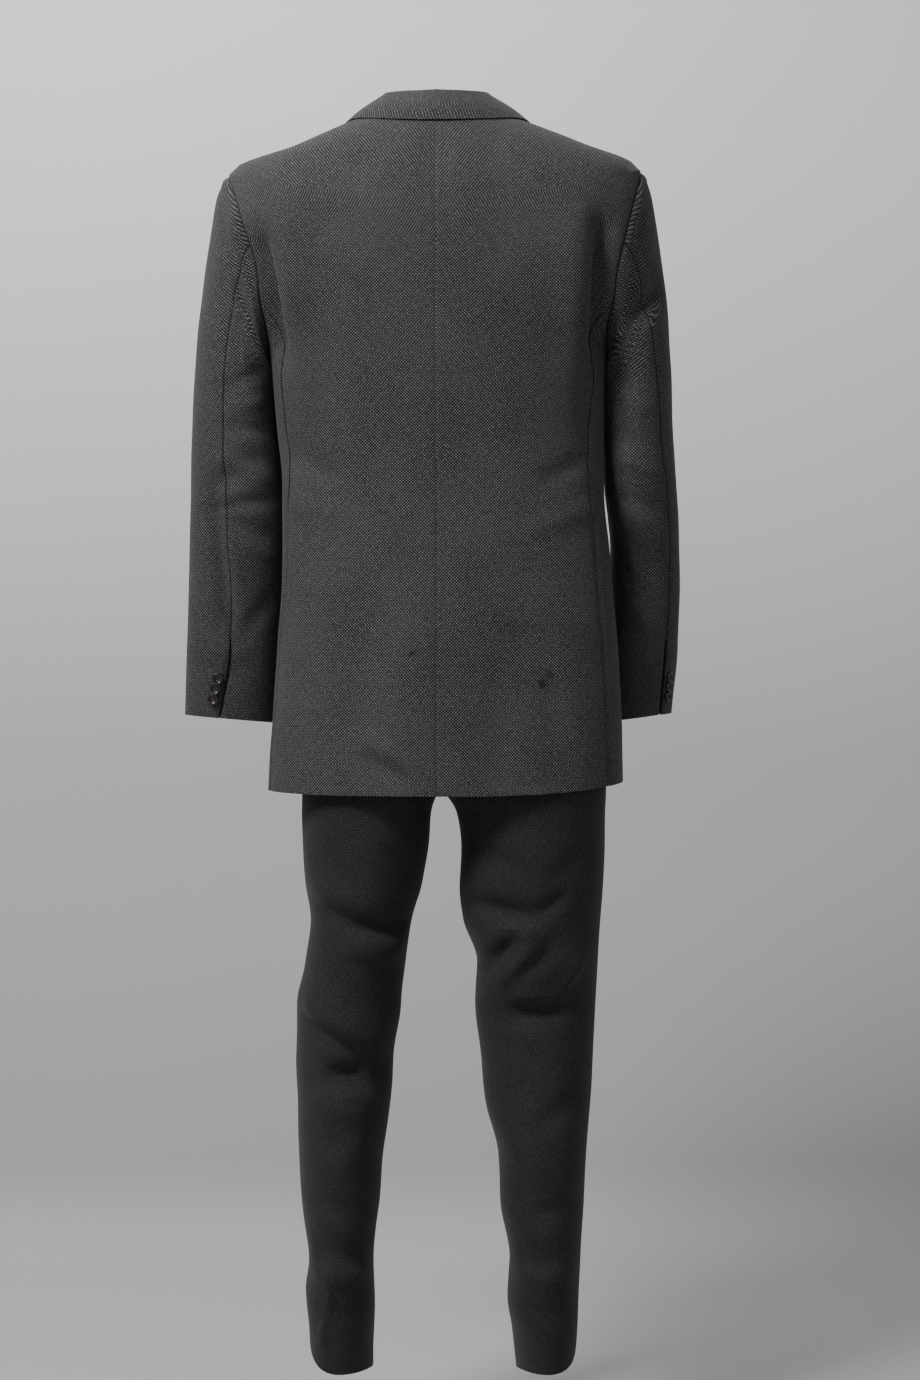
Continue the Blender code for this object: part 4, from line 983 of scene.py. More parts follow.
# %% Horn and thread
def dark_horn(name):
    """Polished horn: near black, faintly streaked brown, with a clear gloss on the rim."""
    material, tree, shader, place = new_material(name)
    streak = noise(tree, place, 380.0, 3.0, Distortion=1.2)
    share = ranged(tree, streak.outputs[0], 0.45, 0.75)
    colour = mixed(tree, share, linear("#121110"), linear("#35291f"))
    feed(tree, shader, Base_Color=colour, Roughness=0.24, IOR=1.56, Coat_Weight=0.3,
         Coat_Roughness=0.12)
    return material


def twisted_thread(name, colour):
    """Sewing thread: matt, a little lighter than the cloth, so that stitches just show."""
    material, tree, shader, place = new_material(name)
    fibre = noise(tree, place, 2400.0)
    bump = add_node(tree, "ShaderNodeBump", Height=fibre.outputs[0], Strength=0.4, Distance=0.0001)
    feed(tree, shader, Base_Color=linear(colour), Normal=bump.outputs[0], Roughness=0.7,
         Sheen_Weight=0.2)
    return material


horn = dark_horn("polished_dark_horn")
thread = twisted_thread("charcoal_thread", "#2f2e2e")
button_thread = twisted_thread("button_thread", "#1c1b1b")


# %% [markdown]
# The body of the jacket is two backs with a centre seam, two sides and two fronts, each cut to
# meet the next at a seam. They could be one closed tube with lines drawn on it. As six pieces on
# one surface round the chest their seams are real, and close by themselves. Each row of a grid
# starts and ends on a seam, and the rows fan out at the armhole, which keeps the squares even.

# %% Fine rows for the jacket's body
body_point = folded(body_rest, BODY_ALL, 1, 0.45)


SEAM_SWINGS = np.linspace(0, SIDE_SEAM_TURN, 49)
JUNCTION_ROW = float(armhole_row(SIDE_SEAM_TURN))
LOW_ROWS = JUNCTION_ROW + (HEM_ROW - JUNCTION_ROW) * unit_rows(590, 5.4, LONG_STEPS)[1:]
NECK_ROWS = 2.0 * unit_rows(60, 4.4)[:-4]
BODY_ROWS = np.concatenate([NECK_ROWS, armhole_row(SEAM_SWINGS), LOW_ROWS])
ARMHOLE = slice(len(NECK_ROWS), len(NECK_ROWS) + len(SEAM_SWINGS))


def fanned_rows(share):
    """A panel's row at each grid point: the armhole's own at its edge, even ones away from it."""
    even = BODY_ROWS.copy()
    even[ARMHOLE] = np.linspace(SHOULDER_ROW, JUNCTION_ROW, len(SEAM_SWINGS))
    return BODY_ROWS[:, None] + (even - BODY_ROWS)[:, None] * (1 - share) ** 1.5


def outer_turn(side, front):
    """The turn of a panel's outer edge at each row: shoulder seam, armhole, then side seam."""
    sign = -1 if front else 1
    hem = SIDE_FRONT_HEM if front else SIDE_BACK_HEM[side]
    armhole = armhole_turn(sign * SEAM_SWINGS)
    down = smooth_step((LOW_ROWS - JUNCTION_ROW) / (HEM_ROW - JUNCTION_ROW))
    seam = armhole[-1] + (hem - armhole[-1]) * down
    return np.concatenate([np.full(len(NECK_ROWS), 90.0), armhole, seam])


def on_side(side):
    """The jacket body as a surface whose turn is measured towards this side."""

    def surface(turn, row):
        return body_point(side * np.asarray(turn), row)

    return surface


def sleeve_surface(side):
    """The finished cloth of a sleeve. It starts even at the armhole, where the body shapes it."""

    def from_armhole(row):
        return smooth_step(np.asarray(row, float) / 0.5)

    return folded(sleeve_rest(side), SLEEVE_ALL[side], -side, 0.5, from_armhole)


def mitre(side, swing):
    """The armhole's joint: one direction through body and sleeve, and the step between them."""
    body = on_side(side)
    across = normals(body, armhole_turn(swing), armhole_row(swing), side)
    sleeve = sleeve_surface(side)
    down = normals(sleeve, swing, np.full_like(swing, 0.06), -side, 2.0, 0.05)
    shared = unit(across + down)
    lean = np.sum(shared * across, axis=-1, keepdims=True)
    start = body(armhole_turn(swing - 1), armhole_row(swing - 1))
    run = body(armhole_turn(swing + 1), armhole_row(swing + 1)) - start
    apart = side * unit(np.cross(run, shared)) * (1 - lean) * SEAM_GAP / 2
    return shared / np.maximum(lean, 0.5), apart


print(len(BODY_ROWS), "rows in a body panel")


# %% [markdown]
# On the real jacket the two backs meet at a centre seam pressed open, which shows as a fine line
# with a shadow. The seam could be drawn in the colour only. Rolled edges cast the line's own
# shadow in any light, so each edge sinks by under a millimetre within two millimetres of the seam,
# and a faint painted shade darkens the colour beside it as well.

# %% The backs, with the centre seam
def build_back(side):
    turn_ends = outer_turn(side, False)
    share = unit_rows(215, 5.2)
    turn = turn_ends[:, None] * share
    row = fanned_rows(share)
    surface = on_side(side)
    through = normals(surface, turn, row, side)
    through[ARMHOLE, -1], apart = mitre(side, SEAM_SWINGS)
    place = eased(surface(turn, row), SEAM_GAP / 2)
    place[ARMHOLE, -1] -= apart
    place = sunk_edges(place, through, ("end",))
    place = sunk_edges(place, through, ("start",), 0.7, 1.8)
    shade = seam_shade(place, ("end",), ("start",), ARMHOLE.stop)
    made = shell(f"back_{SIDES[side]}", place, through, jacket_wool, shade=shade)
    wear(f"jacket_back_{SIDES[side]}", made)


# %% [markdown]
# The side bodies carry the side vents. Below the top of a vent the side goes on under the edge of
# the back, so the back's corner hangs free over it. The tucked strip could be a piece of its own.
# It is one cloth with the side on the real jacket, so extra columns of the same grid go under.

# %% The sides, tucked under the backs at the vents
def side_grid(side):
    """The turns and rows of a side body between its seams, with the armhole along its top."""
    swings = np.linspace(SIDE_SEAM_TURN, 360 - SIDE_SEAM_TURN, 37)
    edge_rows = np.concatenate([[JUNCTION_ROW], LOW_ROWS])
    dip = armhole_row(swings) - JUNCTION_ROW
    fade = np.interp(edge_rows, [JUNCTION_ROW, 6.2], [1, 0]) ** 1.4
    row = edge_rows[:, None] + dip * fade[:, None]
    rear = outer_turn(side, False)[-len(edge_rows):]
    fore = outer_turn(side, True)[-len(edge_rows):]
    across = (armhole_turn(swings) - rear[0]) / (fore[0] - rear[0])
    return swings, rear[:, None] + (fore - rear)[:, None] * across, row


def build_side(side):
    surface = on_side(side)
    swings, turn, row = side_grid(side)
    top_through, apart = mitre(side, swings)
    rear, rows = turn[:, 0], row[:, 0]
    degree = np.degrees(1 / along(BODY, SIDES[side], rows))
    # The tucked strip widens from nothing, and its columns end just past the seam
    low = smooth_step((rows - VENT_TOP_ROW + 0.5) / 0.5) * VENT_TUCK
    width = (turn[:, 1:2] - rear[:, None]) / degree[:, None]
    steps = np.linspace(0, 1, 6)
    under = -low[:, None] + (low[:, None] + 1.0) * steps
    beyond = np.minimum(1.0 + np.array([1.2, 3.0]), width * np.array([0.5, 0.8]))
    offset = np.concatenate([under, beyond], axis=1)
    extra = rear[:, None] + degree[:, None] * offset
    share = np.clip((extra - rear[:, None]) / (turn[:, 1] - rear)[:, None], 0, 1)
    extra_row = rows[:, None] + (row[:, 1] - rows)[:, None] * share
    # The strip and the seam beside it go below the back, by its wall and a little air
    deep = smooth_step((rows - VENT_TOP_ROW + 1.1) / 0.6)[:, None] * (WALL + CLEAR)
    turn_all = np.concatenate([extra, turn[:, 1:]], axis=1)
    row_all = np.concatenate([extra_row, row[:, 1:]], axis=1)
    through = normals(surface, turn_all, row_all, side)
    place = surface(turn_all, row_all)
    reach = (turn_all - rear[:, None]) / degree[:, None]
    place -= through * (deep * smooth_step((10.0 - reach) / 7.0))[..., None]
    # Along the armhole the extra columns lie between the first two points of its joint
    count = extra.shape[1]
    top = surface(turn[0], row[0])
    place[0, :count] = top[0] + (top[1] - top[0]) * share[0, :, None]
    through[0, count:] = top_through[1:]
    through[0, :count] = top_through[0] + (top_through[1] - top_through[0]) * share[0, :, None]
    place = eased(place, SEAM_GAP / 2)
    place[0, count:] -= apart[1:]
    place[0, :count] -= apart[0] + (apart[1] - apart[0]) * share[0, :, None]
    place = sunk_edges(place, through, ("end", "top"))
    shade = seam_shade(place, ("top",), ("start", "end"))
    made = shell(f"side_{SIDES[side]}", place, through, jacket_wool, shade=shade)
    wear(f"jacket_side_{SIDES[side]}", made)


# %% [markdown]
# The fronts aren't in the photograph, so they follow the usual cut of such a suit: one row of two
# buttons, notch lapels, flap pockets and a breast welt. The right front passes under the left one,
# and both lower corners are cut round.

# %% The fronts
LAP_START, LAP_WIDE = 64, 38
LAP_TOP_ROW, LAP_ROWS = 4.6, 1.4


def under_lap(surface, side):
    """The right front passes under the left one near the centre front."""

    def lowered(turn, row):
        place = surface(turn, row)
        out = normals(surface, turn, row, side)
        past = smooth_step((LAP_START - side * place[..., 0]) / LAP_WIDE)
        low = smooth_step((np.asarray(row) - LAP_TOP_ROW) / LAP_ROWS)
        return place - out * (past * low * UNDER_LAP)[..., None]

    return lowered


def front_cloth(side):
    surface = on_side(side)
    return under_lap(surface, side) if side == RIGHT else surface


def build_front(side):
    start = outer_turn(side, True)
    end = front_turn(BODY_ROWS, along(BODY, "edge", BODY_ROWS), side)
    round_part = np.sin(np.linspace(0, pi / 2, 22))
    flat_part = unit_rows(130, 5.2)
    flat_part = flat_part[flat_part < 0.99] * CORNER_START
    share = np.concatenate([flat_part, CORNER_START + (1 - CORNER_START) * round_part])
    turn = start[:, None] + (end - start)[:, None] * share
    # The lower corner is cut round: towards the front edge the last rows rise along a circle
    past = np.clip((share - CORNER_START) / (1 - CORNER_START), 0, 1)
    round_off = CORNER_LIFT * (1 - np.sqrt(1 - past**2))
    low = smooth_step((BODY_ROWS - 9.0) / 2.0)
    row = fanned_rows(1 - share) - round_off * low[:, None]
    surface = front_cloth(side)
    through = normals(surface, turn, row, side)
    through[ARMHOLE, 0], apart = mitre(side, -SEAM_SWINGS)
    place = eased(surface(turn, row), SEAM_GAP / 2)
    place[ARMHOLE, 0] -= apart
    place = sunk_edges(place, through, ("start",))
    shade = seam_shade(place, ("start",), (), ARMHOLE.stop)
    made = shell(f"front_{SIDES[side]}", place, through, jacket_wool, shade=shade)
    wear(f"jacket_front_{SIDES[side]}", made)


# %% [markdown]
# Lapels, collar, flaps and welt lie on the cloth below them. Each is a second layer with its own
# thickness, a fine air gap under it and an edge rolled down, so that it reads as laid on. Flap
# corners are rounded by drawing the grid's lower rows in, as the bagged-out corner of a flap is.

# %% Lapels, flaps, welt and collar
def lapel_row(row, share):
    """The row on the front below a point of the lapel. Its top edge drops away from the neck."""
    return row + np.interp(row, [LAPEL_TOP, 3.0], [LAPEL_DROP, 0]) * share


def lapel_height(share):
    """How far the lapel's cloth stands off the front, most between its roll and its edge."""
    return LAPEL_CLEAR + THIN_WALL + 1.6 * np.sin(pi * share) ** 0.7


def build_lapel(side):
    """The turned-out front: it lies on the front panel from the roll line to its own edge."""
    rows = LAPEL_TOP + (LAPEL_END - LAPEL_TOP) * unit_rows(420, 5.0, LONG_STEPS)
    share = unit_rows(85, 4.6)
    row = lapel_row(rows[:, None], share)
    edge = along(BODY, "edge", row)
    outer = along(BODY, "lapel", row)
    turn = front_turn(row, edge + (outer - edge) * share, side)
    surface = front_cloth(side)
    through = normals(surface, turn, row, side)
    place = surface(turn, row) + through * lapel_height(share)[..., None]
    place = sunk_edges(place, through, ("top", "end", "bottom"), 0.9, 2.4)
    made = shell(f"lapel_piece_{SIDES[side]}", place, through, jacket_wool, 1.4)
    wear(f"lapel_{SIDES[side]}", made)


def build_flap(node, side, x_span, row_span, lean, corner):
    """A flap or welt on a front panel: a patch of the body, moved out, with rounded corners."""
    wide = abs(x_span[1] - x_span[0])
    tall = 50.0 * (row_span[1] - row_span[0]) / 0.5
    share = unit_rows(wide, 3.4)
    down = unit_rows(tall, 3.4)
    from_side = np.minimum(share, 1 - share) * wide
    inwards = np.clip(corner - from_side, 0, corner)
    cut = corner - np.sqrt(np.clip(corner**2 - inwards**2, 0, None))
    height = 1 - cut / tall if corner else np.ones_like(share)
    rows = row_span[0] + (row_span[1] - row_span[0]) * down[:, None] * height
    row = rows + lean * share
    x = np.broadcast_to(x_span[0] + (x_span[1] - x_span[0]) * share, row.shape)
    turn = front_turn(row, x, side)
    surface = on_side(side)
    through = normals(surface, turn, row, side)
    place = surface(turn, row) + through * (CLEAR + THIN_WALL)
    place = sunk_edges(place, through, ("start", "end", "top", "bottom"), 0.7, 2.2)
    made = shell(node + "_piece", place, through, jacket_wool, 1.4)
    wear(node, made)


def build_collar():
    end = COLLAR["turn"][-1]
    turn = -end + 2 * end * unit_rows(470, 4.6)
    share = np.concatenate([np.linspace(0, 0.4, 9)[:-1], np.linspace(0.4, 0.61, 13)[:-1]])
    share = np.concatenate([share, 0.61 + 0.39 * (1 - (1 - np.linspace(0, 1, 11)) ** 1.5)])
    turn_grid, share_grid = np.meshgrid(turn, share)
    place = collar_surface(turn_grid, share_grid)
    through = normals(collar_surface, turn_grid, share_grid, 1, 0.5, 0.01)
    near = np.exp(-(((1 - share_grid) * 38 / 2.4) ** 2)) * 0.5
    place = place - through * near[..., None]
    place = place + through * ripple(place, 0.25)[..., None]
    made = shell("collar_piece", place, through, jacket_wool, 1.4, plumb=False)
    wear("collar", made)


# %% [markdown]
# A tailored sleeve is two pieces, a wide top sleeve and a narrow under sleeve, which meet in a seam
# down the back of the arm. At the cuff that seam opens into a slit with the buttons beside it.
# The top sleeve's edge rises over the under sleeve there, so the slit's edge casts its own line.

# %% The sleeves
SLIT_ROW = 9.75
SLEEVE_ROPE = 2.2
ROPE_BELOW = 9
ROPE_WIDE = 5.5


def build_sleeve(side):
    name = SIDES[side]
    surface = sleeve_surface(side)
    rows = HEM_ROW * unit_rows(690, 5.4, LONG_STEPS)
    rows = np.concatenate([[0, 0.03, 0.07, 0.13], rows[rows > 0.18]])
    slit = smooth_step((rows - SLIT_ROW) / 0.18)[:, None]
    spans = {
        "under_sleeve": (BACK_SLEEVE_SEAM, FRONT_SLEEVE_SEAM, 170),
        "top_sleeve": (FRONT_SLEEVE_SEAM - 360, BACK_SLEEVE_SEAM, 250),
    }
    for part, (first, last, wide) in spans.items():
        edges = unit_rows(wide, 5.0)
        swings = first + (last - first) * edges
        row, swing = np.meshgrid(rows, swings, indexing="ij")
        through = normals(surface, swing, np.maximum(row, 0.05), -side, 2.0, 0.03)
        through[0], apart = mitre(side, swings)
        place = eased(surface(swing, row), SEAM_GAP / 2)
        place[0] += apart
        place = sunk_edges(place, through, ("start", "end", "top"))
        across, down = run_lengths(place, 1), run_lengths(place, 0)
        roping = np.exp(-(((down - ROPE_BELOW) / ROPE_WIDE) ** 2))
        roping = roping * smooth_step(sine_cosine(swing)[1] * 1.3 + 0.2)
        place = place + through * (roping * SLEEVE_ROPE)[..., None]
        # Beside the slit the top sleeve lifts and the under sleeve sinks
        if part == "top_sleeve":
            near = np.exp(-(((across[:, -1:] - across) / 26) ** 2))
            place = place + through * (near * slit * 1.5)[..., None]
        else:
            near = np.exp(-((across / 9) ** 2))
            place = place - through * (near * slit * 1.2)[..., None]
        shade = seam_shade(place, ("start", "end", "top"))
        made = shell(f"{part}_cloth_{name}", place, through, jacket_wool, shade=shade)
        wear(f"{part}_{name}", made)


# %% [markdown]
# A trouser leg is a back and a front, joined at the outer and the inner seam. The long folds of the
# legs come from the knee, the seat and the break over the shoe. A cloth simulation would find some
# folds, but not those in the photograph. Placed troughs and ridges land where the picture has them.

# %% The trouser legs
def leg_surface(side):
    return folded(leg_rest(side), LEG_ALL[side], side, 0.6)


def build_leg(side):
    surface = leg_surface(side)
    upper = CROTCH_ROW * unit_rows(290, 6.4)
    lower = CROTCH_ROW + (LEG_HEM_ROW - CROTCH_ROW) * unit_rows(690, 5.8)[5:]
    rows = np.concatenate([upper[:-4], lower])
    share = unit_rows(240, 5.6)
    for part, front in (("back", False), ("front", True)):
        inner = rise_turn(rows, front)
        outer = np.full(len(rows), OUTER_SEAM)
        start, end = (outer, 180 + inner) if front else (-inner, outer)
        turn = start[:, None] + (end - start)[:, None] * share
        row = np.repeat(rows[:, None], turn.shape[1], axis=1)
        through = normals(surface, turn, row, side)
        place = eased(surface(turn, row), SEAM_GAP / 2)
        place = sunk_edges(place, through, ("start", "end"))
        shade = seam_shade(place, (), ("start", "end"))
        made = shell(f"leg_{part}_{SIDES[side]}", place, through, shaded_trouser_wool, 1.2, shade=shade)
        wear(f"trouser_{part}_{SIDES[side]}", made)


# %% [markdown]
# The waistband is a straight band, open at the centre front, and the fly is a flap on the left
# front whose edge curves in at its foot. The jacket hides both, so they have only their own form.

# %% The waistband and the fly
def build_waistband():
    turn = -179.4 + 358.8 * unit_rows(1030, 5.6)
    up = WAIST_TALL - (WAIST_TALL - 0.6) * unit_rows(WAIST_TALL, 3.4)
    turn_grid, up_grid = np.meshgrid(turn, up)
    top = ring_at(LEGS, 0.0)
    left, right = top["left"] - CENTRE_X, CENTRE_X - top["right"]
    reach = ring_reach(turn_grid, right, left, top["back"], top["front"], top["power"])
    s, c = sine_cosine(turn_grid)
    reach = reach - up_grid * 0.06
    place = points(CENTRE_X + reach * s, top["middle_y"] + reach * c, top["z"] + up_grid)
    through = points(s, c, np.zeros_like(s))
    place = sunk_edges(place, through, ("top", "bottom"), 0.5, 1.8)
    made = shell("waistband_piece", place, through, shaded_trouser_wool, 1.5)
    wear("waistband", made)


def fly_reach(rows, wide):
    """How far the fly's edge is from the centre seam at each row, in degrees, less at its foot."""
    bend = ((rows - 1.6) / 1.4).clip(0, 1)
    width = wide * np.sqrt(np.clip(1 - bend**2 * 0.92, 0, 1))
    return np.degrees(width / along(LEGS, "front", rows))


def build_fly():
    """The fly's flap lies on the left front, beside the centre seam, and bends in at its foot."""
    rows = 0.12 + 2.78 * unit_rows(160, 4.4)
    surface = leg_surface(LEFT)
    centre = 180 + rise_turn(rows, True)
    start = centre - fly_reach(rows, FLY_WIDE)
    share = unit_rows(FLY_WIDE, 4.0)
    turn = start[:, None] + (centre - 0.3 - start)[:, None] * share
    row = np.repeat(rows[:, None], turn.shape[1], axis=1)
    through = normals(surface, turn, row)
    place = surface(turn, row) + through * (CLEAR + THIN_WALL)
    place = sunk_edges(place, through, ("start", "top", "bottom"), 0.6, 1.8)
    made = shell("fly_piece", place, through, shaded_trouser_wool, 1.3)
    wear("fly", made)


# %% [markdown]
# Now each piece is cut for both sides and takes the place of its solid in the frame.

# %% Build the suit's cloth
for side in SIDES:
    build_back(side)
    build_side(side)
    build_front(side)
    build_lapel(side)
    build_sleeve(side)
    build_leg(side)
    build_flap(f"hip_flap_{SIDES[side]}", side, (150, 62), (8.35, 8.85), 0.12, 14.0)
build_flap("breast_welt", LEFT, (178, 118), (4.42, 4.8), 0.12, 0.0)
build_collar()
build_waistband()
build_fly()
print(sum(finished), "triangles of cloth")


# %% [markdown]
# Each button is a turned shape in place of the solid's plainer one. A flat disc with a picture of
# holes would look printed, so the four holes are pits and two threads cross above them. The three
# on a cuff are sewn so close that each one's edge lies on the next, so they lean a little.

# %% The buttons
CUFF_BUTTON_ROWS = (10.42, 10.57, 10.72)
FRONT_BUTTON_ROWS = (7.35, 8.55)
PIT_DEEP = 0.9
CROSSING_HIGH = 0.55
CROSSING_ROUND = 0.2


def button_profile(radius, thick):
    """Half of a button's outline, from the middle of its face out to the rim and under."""
    t = np.linspace(0, 1, 7)
    dish = [(radius * 0.56 * a, thick * (0.60 + 0.02 * a)) for a in np.linspace(0, 1, 10)]
    rise = [(radius * (0.56 + 0.20 * a), thick * (0.62 + 0.36 * smooth_step(a))) for a in t[1:]]
    rim = [(radius * (0.86 + 0.14 * np.sin(a)), thick * (0.55 + 0.45 * np.cos(a)))
           for a in t * pi / 2]
    under = [(radius * (1 - 0.16 * a), thick * (0.55 - 0.55 * a**1.4)) for a in t[1:]]
    return dish + rise + rim + under + [(radius * 0.4, 0.0), (0.0, 0.0)]


def turned_button(node, across, thick, place, out, lean=0.0, lean_way=None):
    """A button on its cloth, with four pits, and the lines of the two threads that cross above it.
    """
    radius = across / 2
    profile = np.array(button_profile(radius, thick))
    steps = 64
    turn = np.linspace(0, 2 * pi, steps, endpoint=False)
    ring = np.stack([np.cos(turn), np.sin(turn)], -1)
    corners = [(0, 0, profile[0, 1])]
    hole = radius * 0.115
    centres = radius * 0.24 * np.array([(1, 1), (1, -1), (-1, 1), (-1, -1)]) * 0.78
    for reach, height in profile[1:-1]:
        for x, y in ring * reach:
            near = min(np.hypot(x - a, y - b) for a, b in centres)
            on_dish = reach < radius * 0.5 and height > thick * 0.3
            pit = PIT_DEEP * smooth_step(1.6 - near / hole) if on_dish else 0
            corners.append((x, y, height - pit))
    corners.append((0, 0, 0))
    faces = [(0, 1 + i, 1 + (i + 1) % steps) for i in range(steps)]
    for level in range(len(profile) - 3):
        low, high = 1 + level * steps, 1 + (level + 1) * steps
        for i in range(steps):
            j = (i + 1) % steps
            faces.append((low + i, high + i, high + j, low + j))
    last, low = len(corners) - 1, 1 + (len(profile) - 3) * steps
    faces += [(low + i, last, low + (i + 1) % steps) for i in range(steps)]
    axis = Vector(out)
    if lean:
        axis = axis * np.cos(lean) + Vector(lean_way) * np.sin(lean)
    turned = np.array(axis.to_track_quat("Z", "Y").to_matrix())
    real = (np.array(corners) @ turned.T + np.array(place)) * MM
    mesh = bpy.data.meshes.new(node + "_horn")
    mesh.from_pydata(real.tolist(), [], faces)
    mesh.shade_smooth()
    mesh.materials.append(horn)
    piece = placed(node + "_horn", mesh)
    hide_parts(node)
    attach(piece, "root")
    lines = []
    for a, b in ((0, 3), (1, 2)):
        start, end = (np.array([*centres[i], profile[0, 1] - 0.1]) for i in (a, b))
        middle = (start + end) / 2 + (0, 0, CROSSING_HIGH)
        halves = [(point + middle) / 2 + (0, 0, CROSSING_ROUND) for point in (start, end)]
        crossing = np.array([start, halves[0], middle, halves[1], end])
        lines.append(crossing @ turned.T + np.array(place))
    return lines


def cuff_buttons(side):
    """Three small buttons beside the slit, each edge lying on the next, as they are sewn close."""
    surface = sleeve_surface(side)
    lines = []
    for number, row in enumerate(CUFF_BUTTON_ROWS, 1):
        swing, at = np.array([BACK_SLEEVE_SEAM - 10]), np.array([row])
        out = normals(surface, swing, at, -side, 2.0, 0.03)[0]
        down = unit(surface(swing, at + 0.1)[0] - surface(swing, at - 0.1)[0])
        place = surface(swing, at)[0] + out * 1.9
        name = f"cuff_button_{SIDES[side]}_{number}"
        lines += turned_button(name, 14.2, 2.9, place, out, 0.20, tuple(-down))
    return lines


button_lines = cuff_buttons(LEFT) + cuff_buttons(RIGHT)
for number, row in enumerate(FRONT_BUTTON_ROWS, 1):
    at = np.array([row])
    turn = front_turn(at, np.array([0.0]), LEFT)
    out = normals(on_side(LEFT), turn, at)[0]
    place = on_side(LEFT)(turn, at)[0] + out * 0.6
    button_lines += turned_button(f"front_button_{number}", 20.0, 3.3, place, out)
waist_y = along(LEGS, "middle_y", 0.0) - along(LEGS, "front", 0.0)
waist_place = (CENTRE_X, waist_y - 0.3, -514.0)
button_lines += turned_button("waist_button", 16.0, 3.0, waist_place, (0, -1, 0))
print(len(button_lines), "thread crossings")


# %% [markdown]
# Stitches repeat along a path, so Geometry Nodes lay them: one small stitch is placed at even steps
# along a line and follows its direction. By hand each would be placed alone, and a drawn line
# wouldn't catch the light. The line is resampled, a stitch is put on each point, and all become one
# plain mesh. A second tree lays one thread of even thickness along a line.

# %% The two sewing trees
def new_tree(name, numbers, result):
    """A tree whose inputs are a line, some numbers and the thread, and the line as a curve."""
    tree = bpy.data.node_groups.new(name, "GeometryNodeTree")
    sockets = [("Line", "INPUT", "Geometry"), *[(label, "INPUT", "Float") for label in numbers],
               ("Thread", "INPUT", "Material"), (result, "OUTPUT", "Geometry")]
    for label, way, kind in sockets:
        tree.interface.new_socket(label, in_out=way, socket_type="NodeSocket" + kind)
    given = tree.nodes.new("NodeGroupInput").outputs
    curve = add_node(tree, "GeometryNodeMeshToCurve", Mesh=given["Line"]).outputs[0]
    return tree, given, curve


def ended_tree(tree, given, laid):
    """The same tree, with what it lays made real, dyed as the thread and sent out."""
    real = add_node(tree, "GeometryNodeRealizeInstances", Geometry=laid.outputs[0])
    dyed = add_node(tree, "GeometryNodeSetMaterial", Geometry=real.outputs[0],
                    Material=given["Thread"])
    feed(tree, tree.nodes.new("NodeGroupOutput"), i0=dyed.outputs[0])
    return tree


def stitch_tree():
    """Short rods at even steps along a line, each turned to follow it."""
    numbers = ("Stitch length", "Step", "Thread radius")
    tree, given, curve = new_tree("even_stitches", numbers, "Stitches")
    spots = add_node(tree, "GeometryNodeResampleCurve", {"mode": "LENGTH"},
                     Curve=curve, Length=given["Step"])
    tangent = add_node(tree, "GeometryNodeInputTangent")
    align = add_node(tree, "FunctionNodeAlignRotationToVector", {"axis": "Z"},
                     Vector=tangent.outputs[0])
    rod = add_node(tree, "GeometryNodeMeshCylinder", Vertices=6, Side_Segments=3,
                   Radius=given["Thread radius"], Depth=given["Stitch length"])
    uneven = add_node(tree, "FunctionNodeRandomValue", {"data_type": "FLOAT"},
                      i2=0.85, i3=1.15, Seed=7)
    laid = add_node(tree, "GeometryNodeInstanceOnPoints", Points=spots.outputs[0],
                    Instance=rod.outputs[0], Rotation=align.outputs[0], Scale=uneven.outputs[1])
    return ended_tree(tree, given, laid)


def thread_tree():
    """One thread of even thickness along each line."""
    tree, given, curve = new_tree("laid_thread", ("Thread radius",), "Threads")
    ring = add_node(tree, "GeometryNodeCurvePrimitiveCircle", Resolution=6,
                    Radius=given["Thread radius"])
    laid = add_node(tree, "GeometryNodeCurveToMesh", Curve=curve, Profile_Curve=ring.outputs[0])
    feed(tree, laid, Fill_Caps=True)
    return ended_tree(tree, given, laid)


def lines_object(name, lines):
    mesh = bpy.data.meshes.new(name)
    corners, edges = [], []
    for line in lines:
        first = len(corners)
        corners += (np.asarray(line) * MM).tolist()
        edges += [(first + i, first + i + 1) for i in range(len(line) - 1)]
    mesh.from_pydata(corners, edges, [])
    return placed(name, mesh)


def sewn(name, lines, tree, values):
    """Runs a tree over the lines, and keeps its result as a plain mesh that rides on the suit."""
    item = lines_object(name, lines)
    modifier = item.modifiers.new("sewing", "NODES")
    modifier.node_group = tree
    for socket in tree.interface.items_tree:
        if socket.in_out == "INPUT" and socket.name in values:
            modifier[socket.identifier] = values[socket.name]
    graph = bpy.context.evaluated_depsgraph_get()
    mesh = bpy.data.meshes.new_from_object(item.evaluated_get(graph))
    item.modifiers.remove(modifier)
    item.data = mesh
    mesh.name = name
    mesh.shade_smooth()
    if not mesh.materials:
        mesh.materials.append(values["Thread"])
    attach(item, "root")
    print(name, len(mesh.polygons), "faces")
    return item


# %% [markdown]
# The pick stitches run a few millimetres inside the front edges and the lapels. They could be a
# second loop of copies placed by hand. The same surfaces that carry the cloth give their lines.

# %% Sew the edges
def front_line(side, rows, x, lift):
    """A line on a front panel at the given rows and distances from the centre front."""
    turn = front_turn(rows, x, side)
    return lifted(front_cloth(side), turn, rows, lift, side)


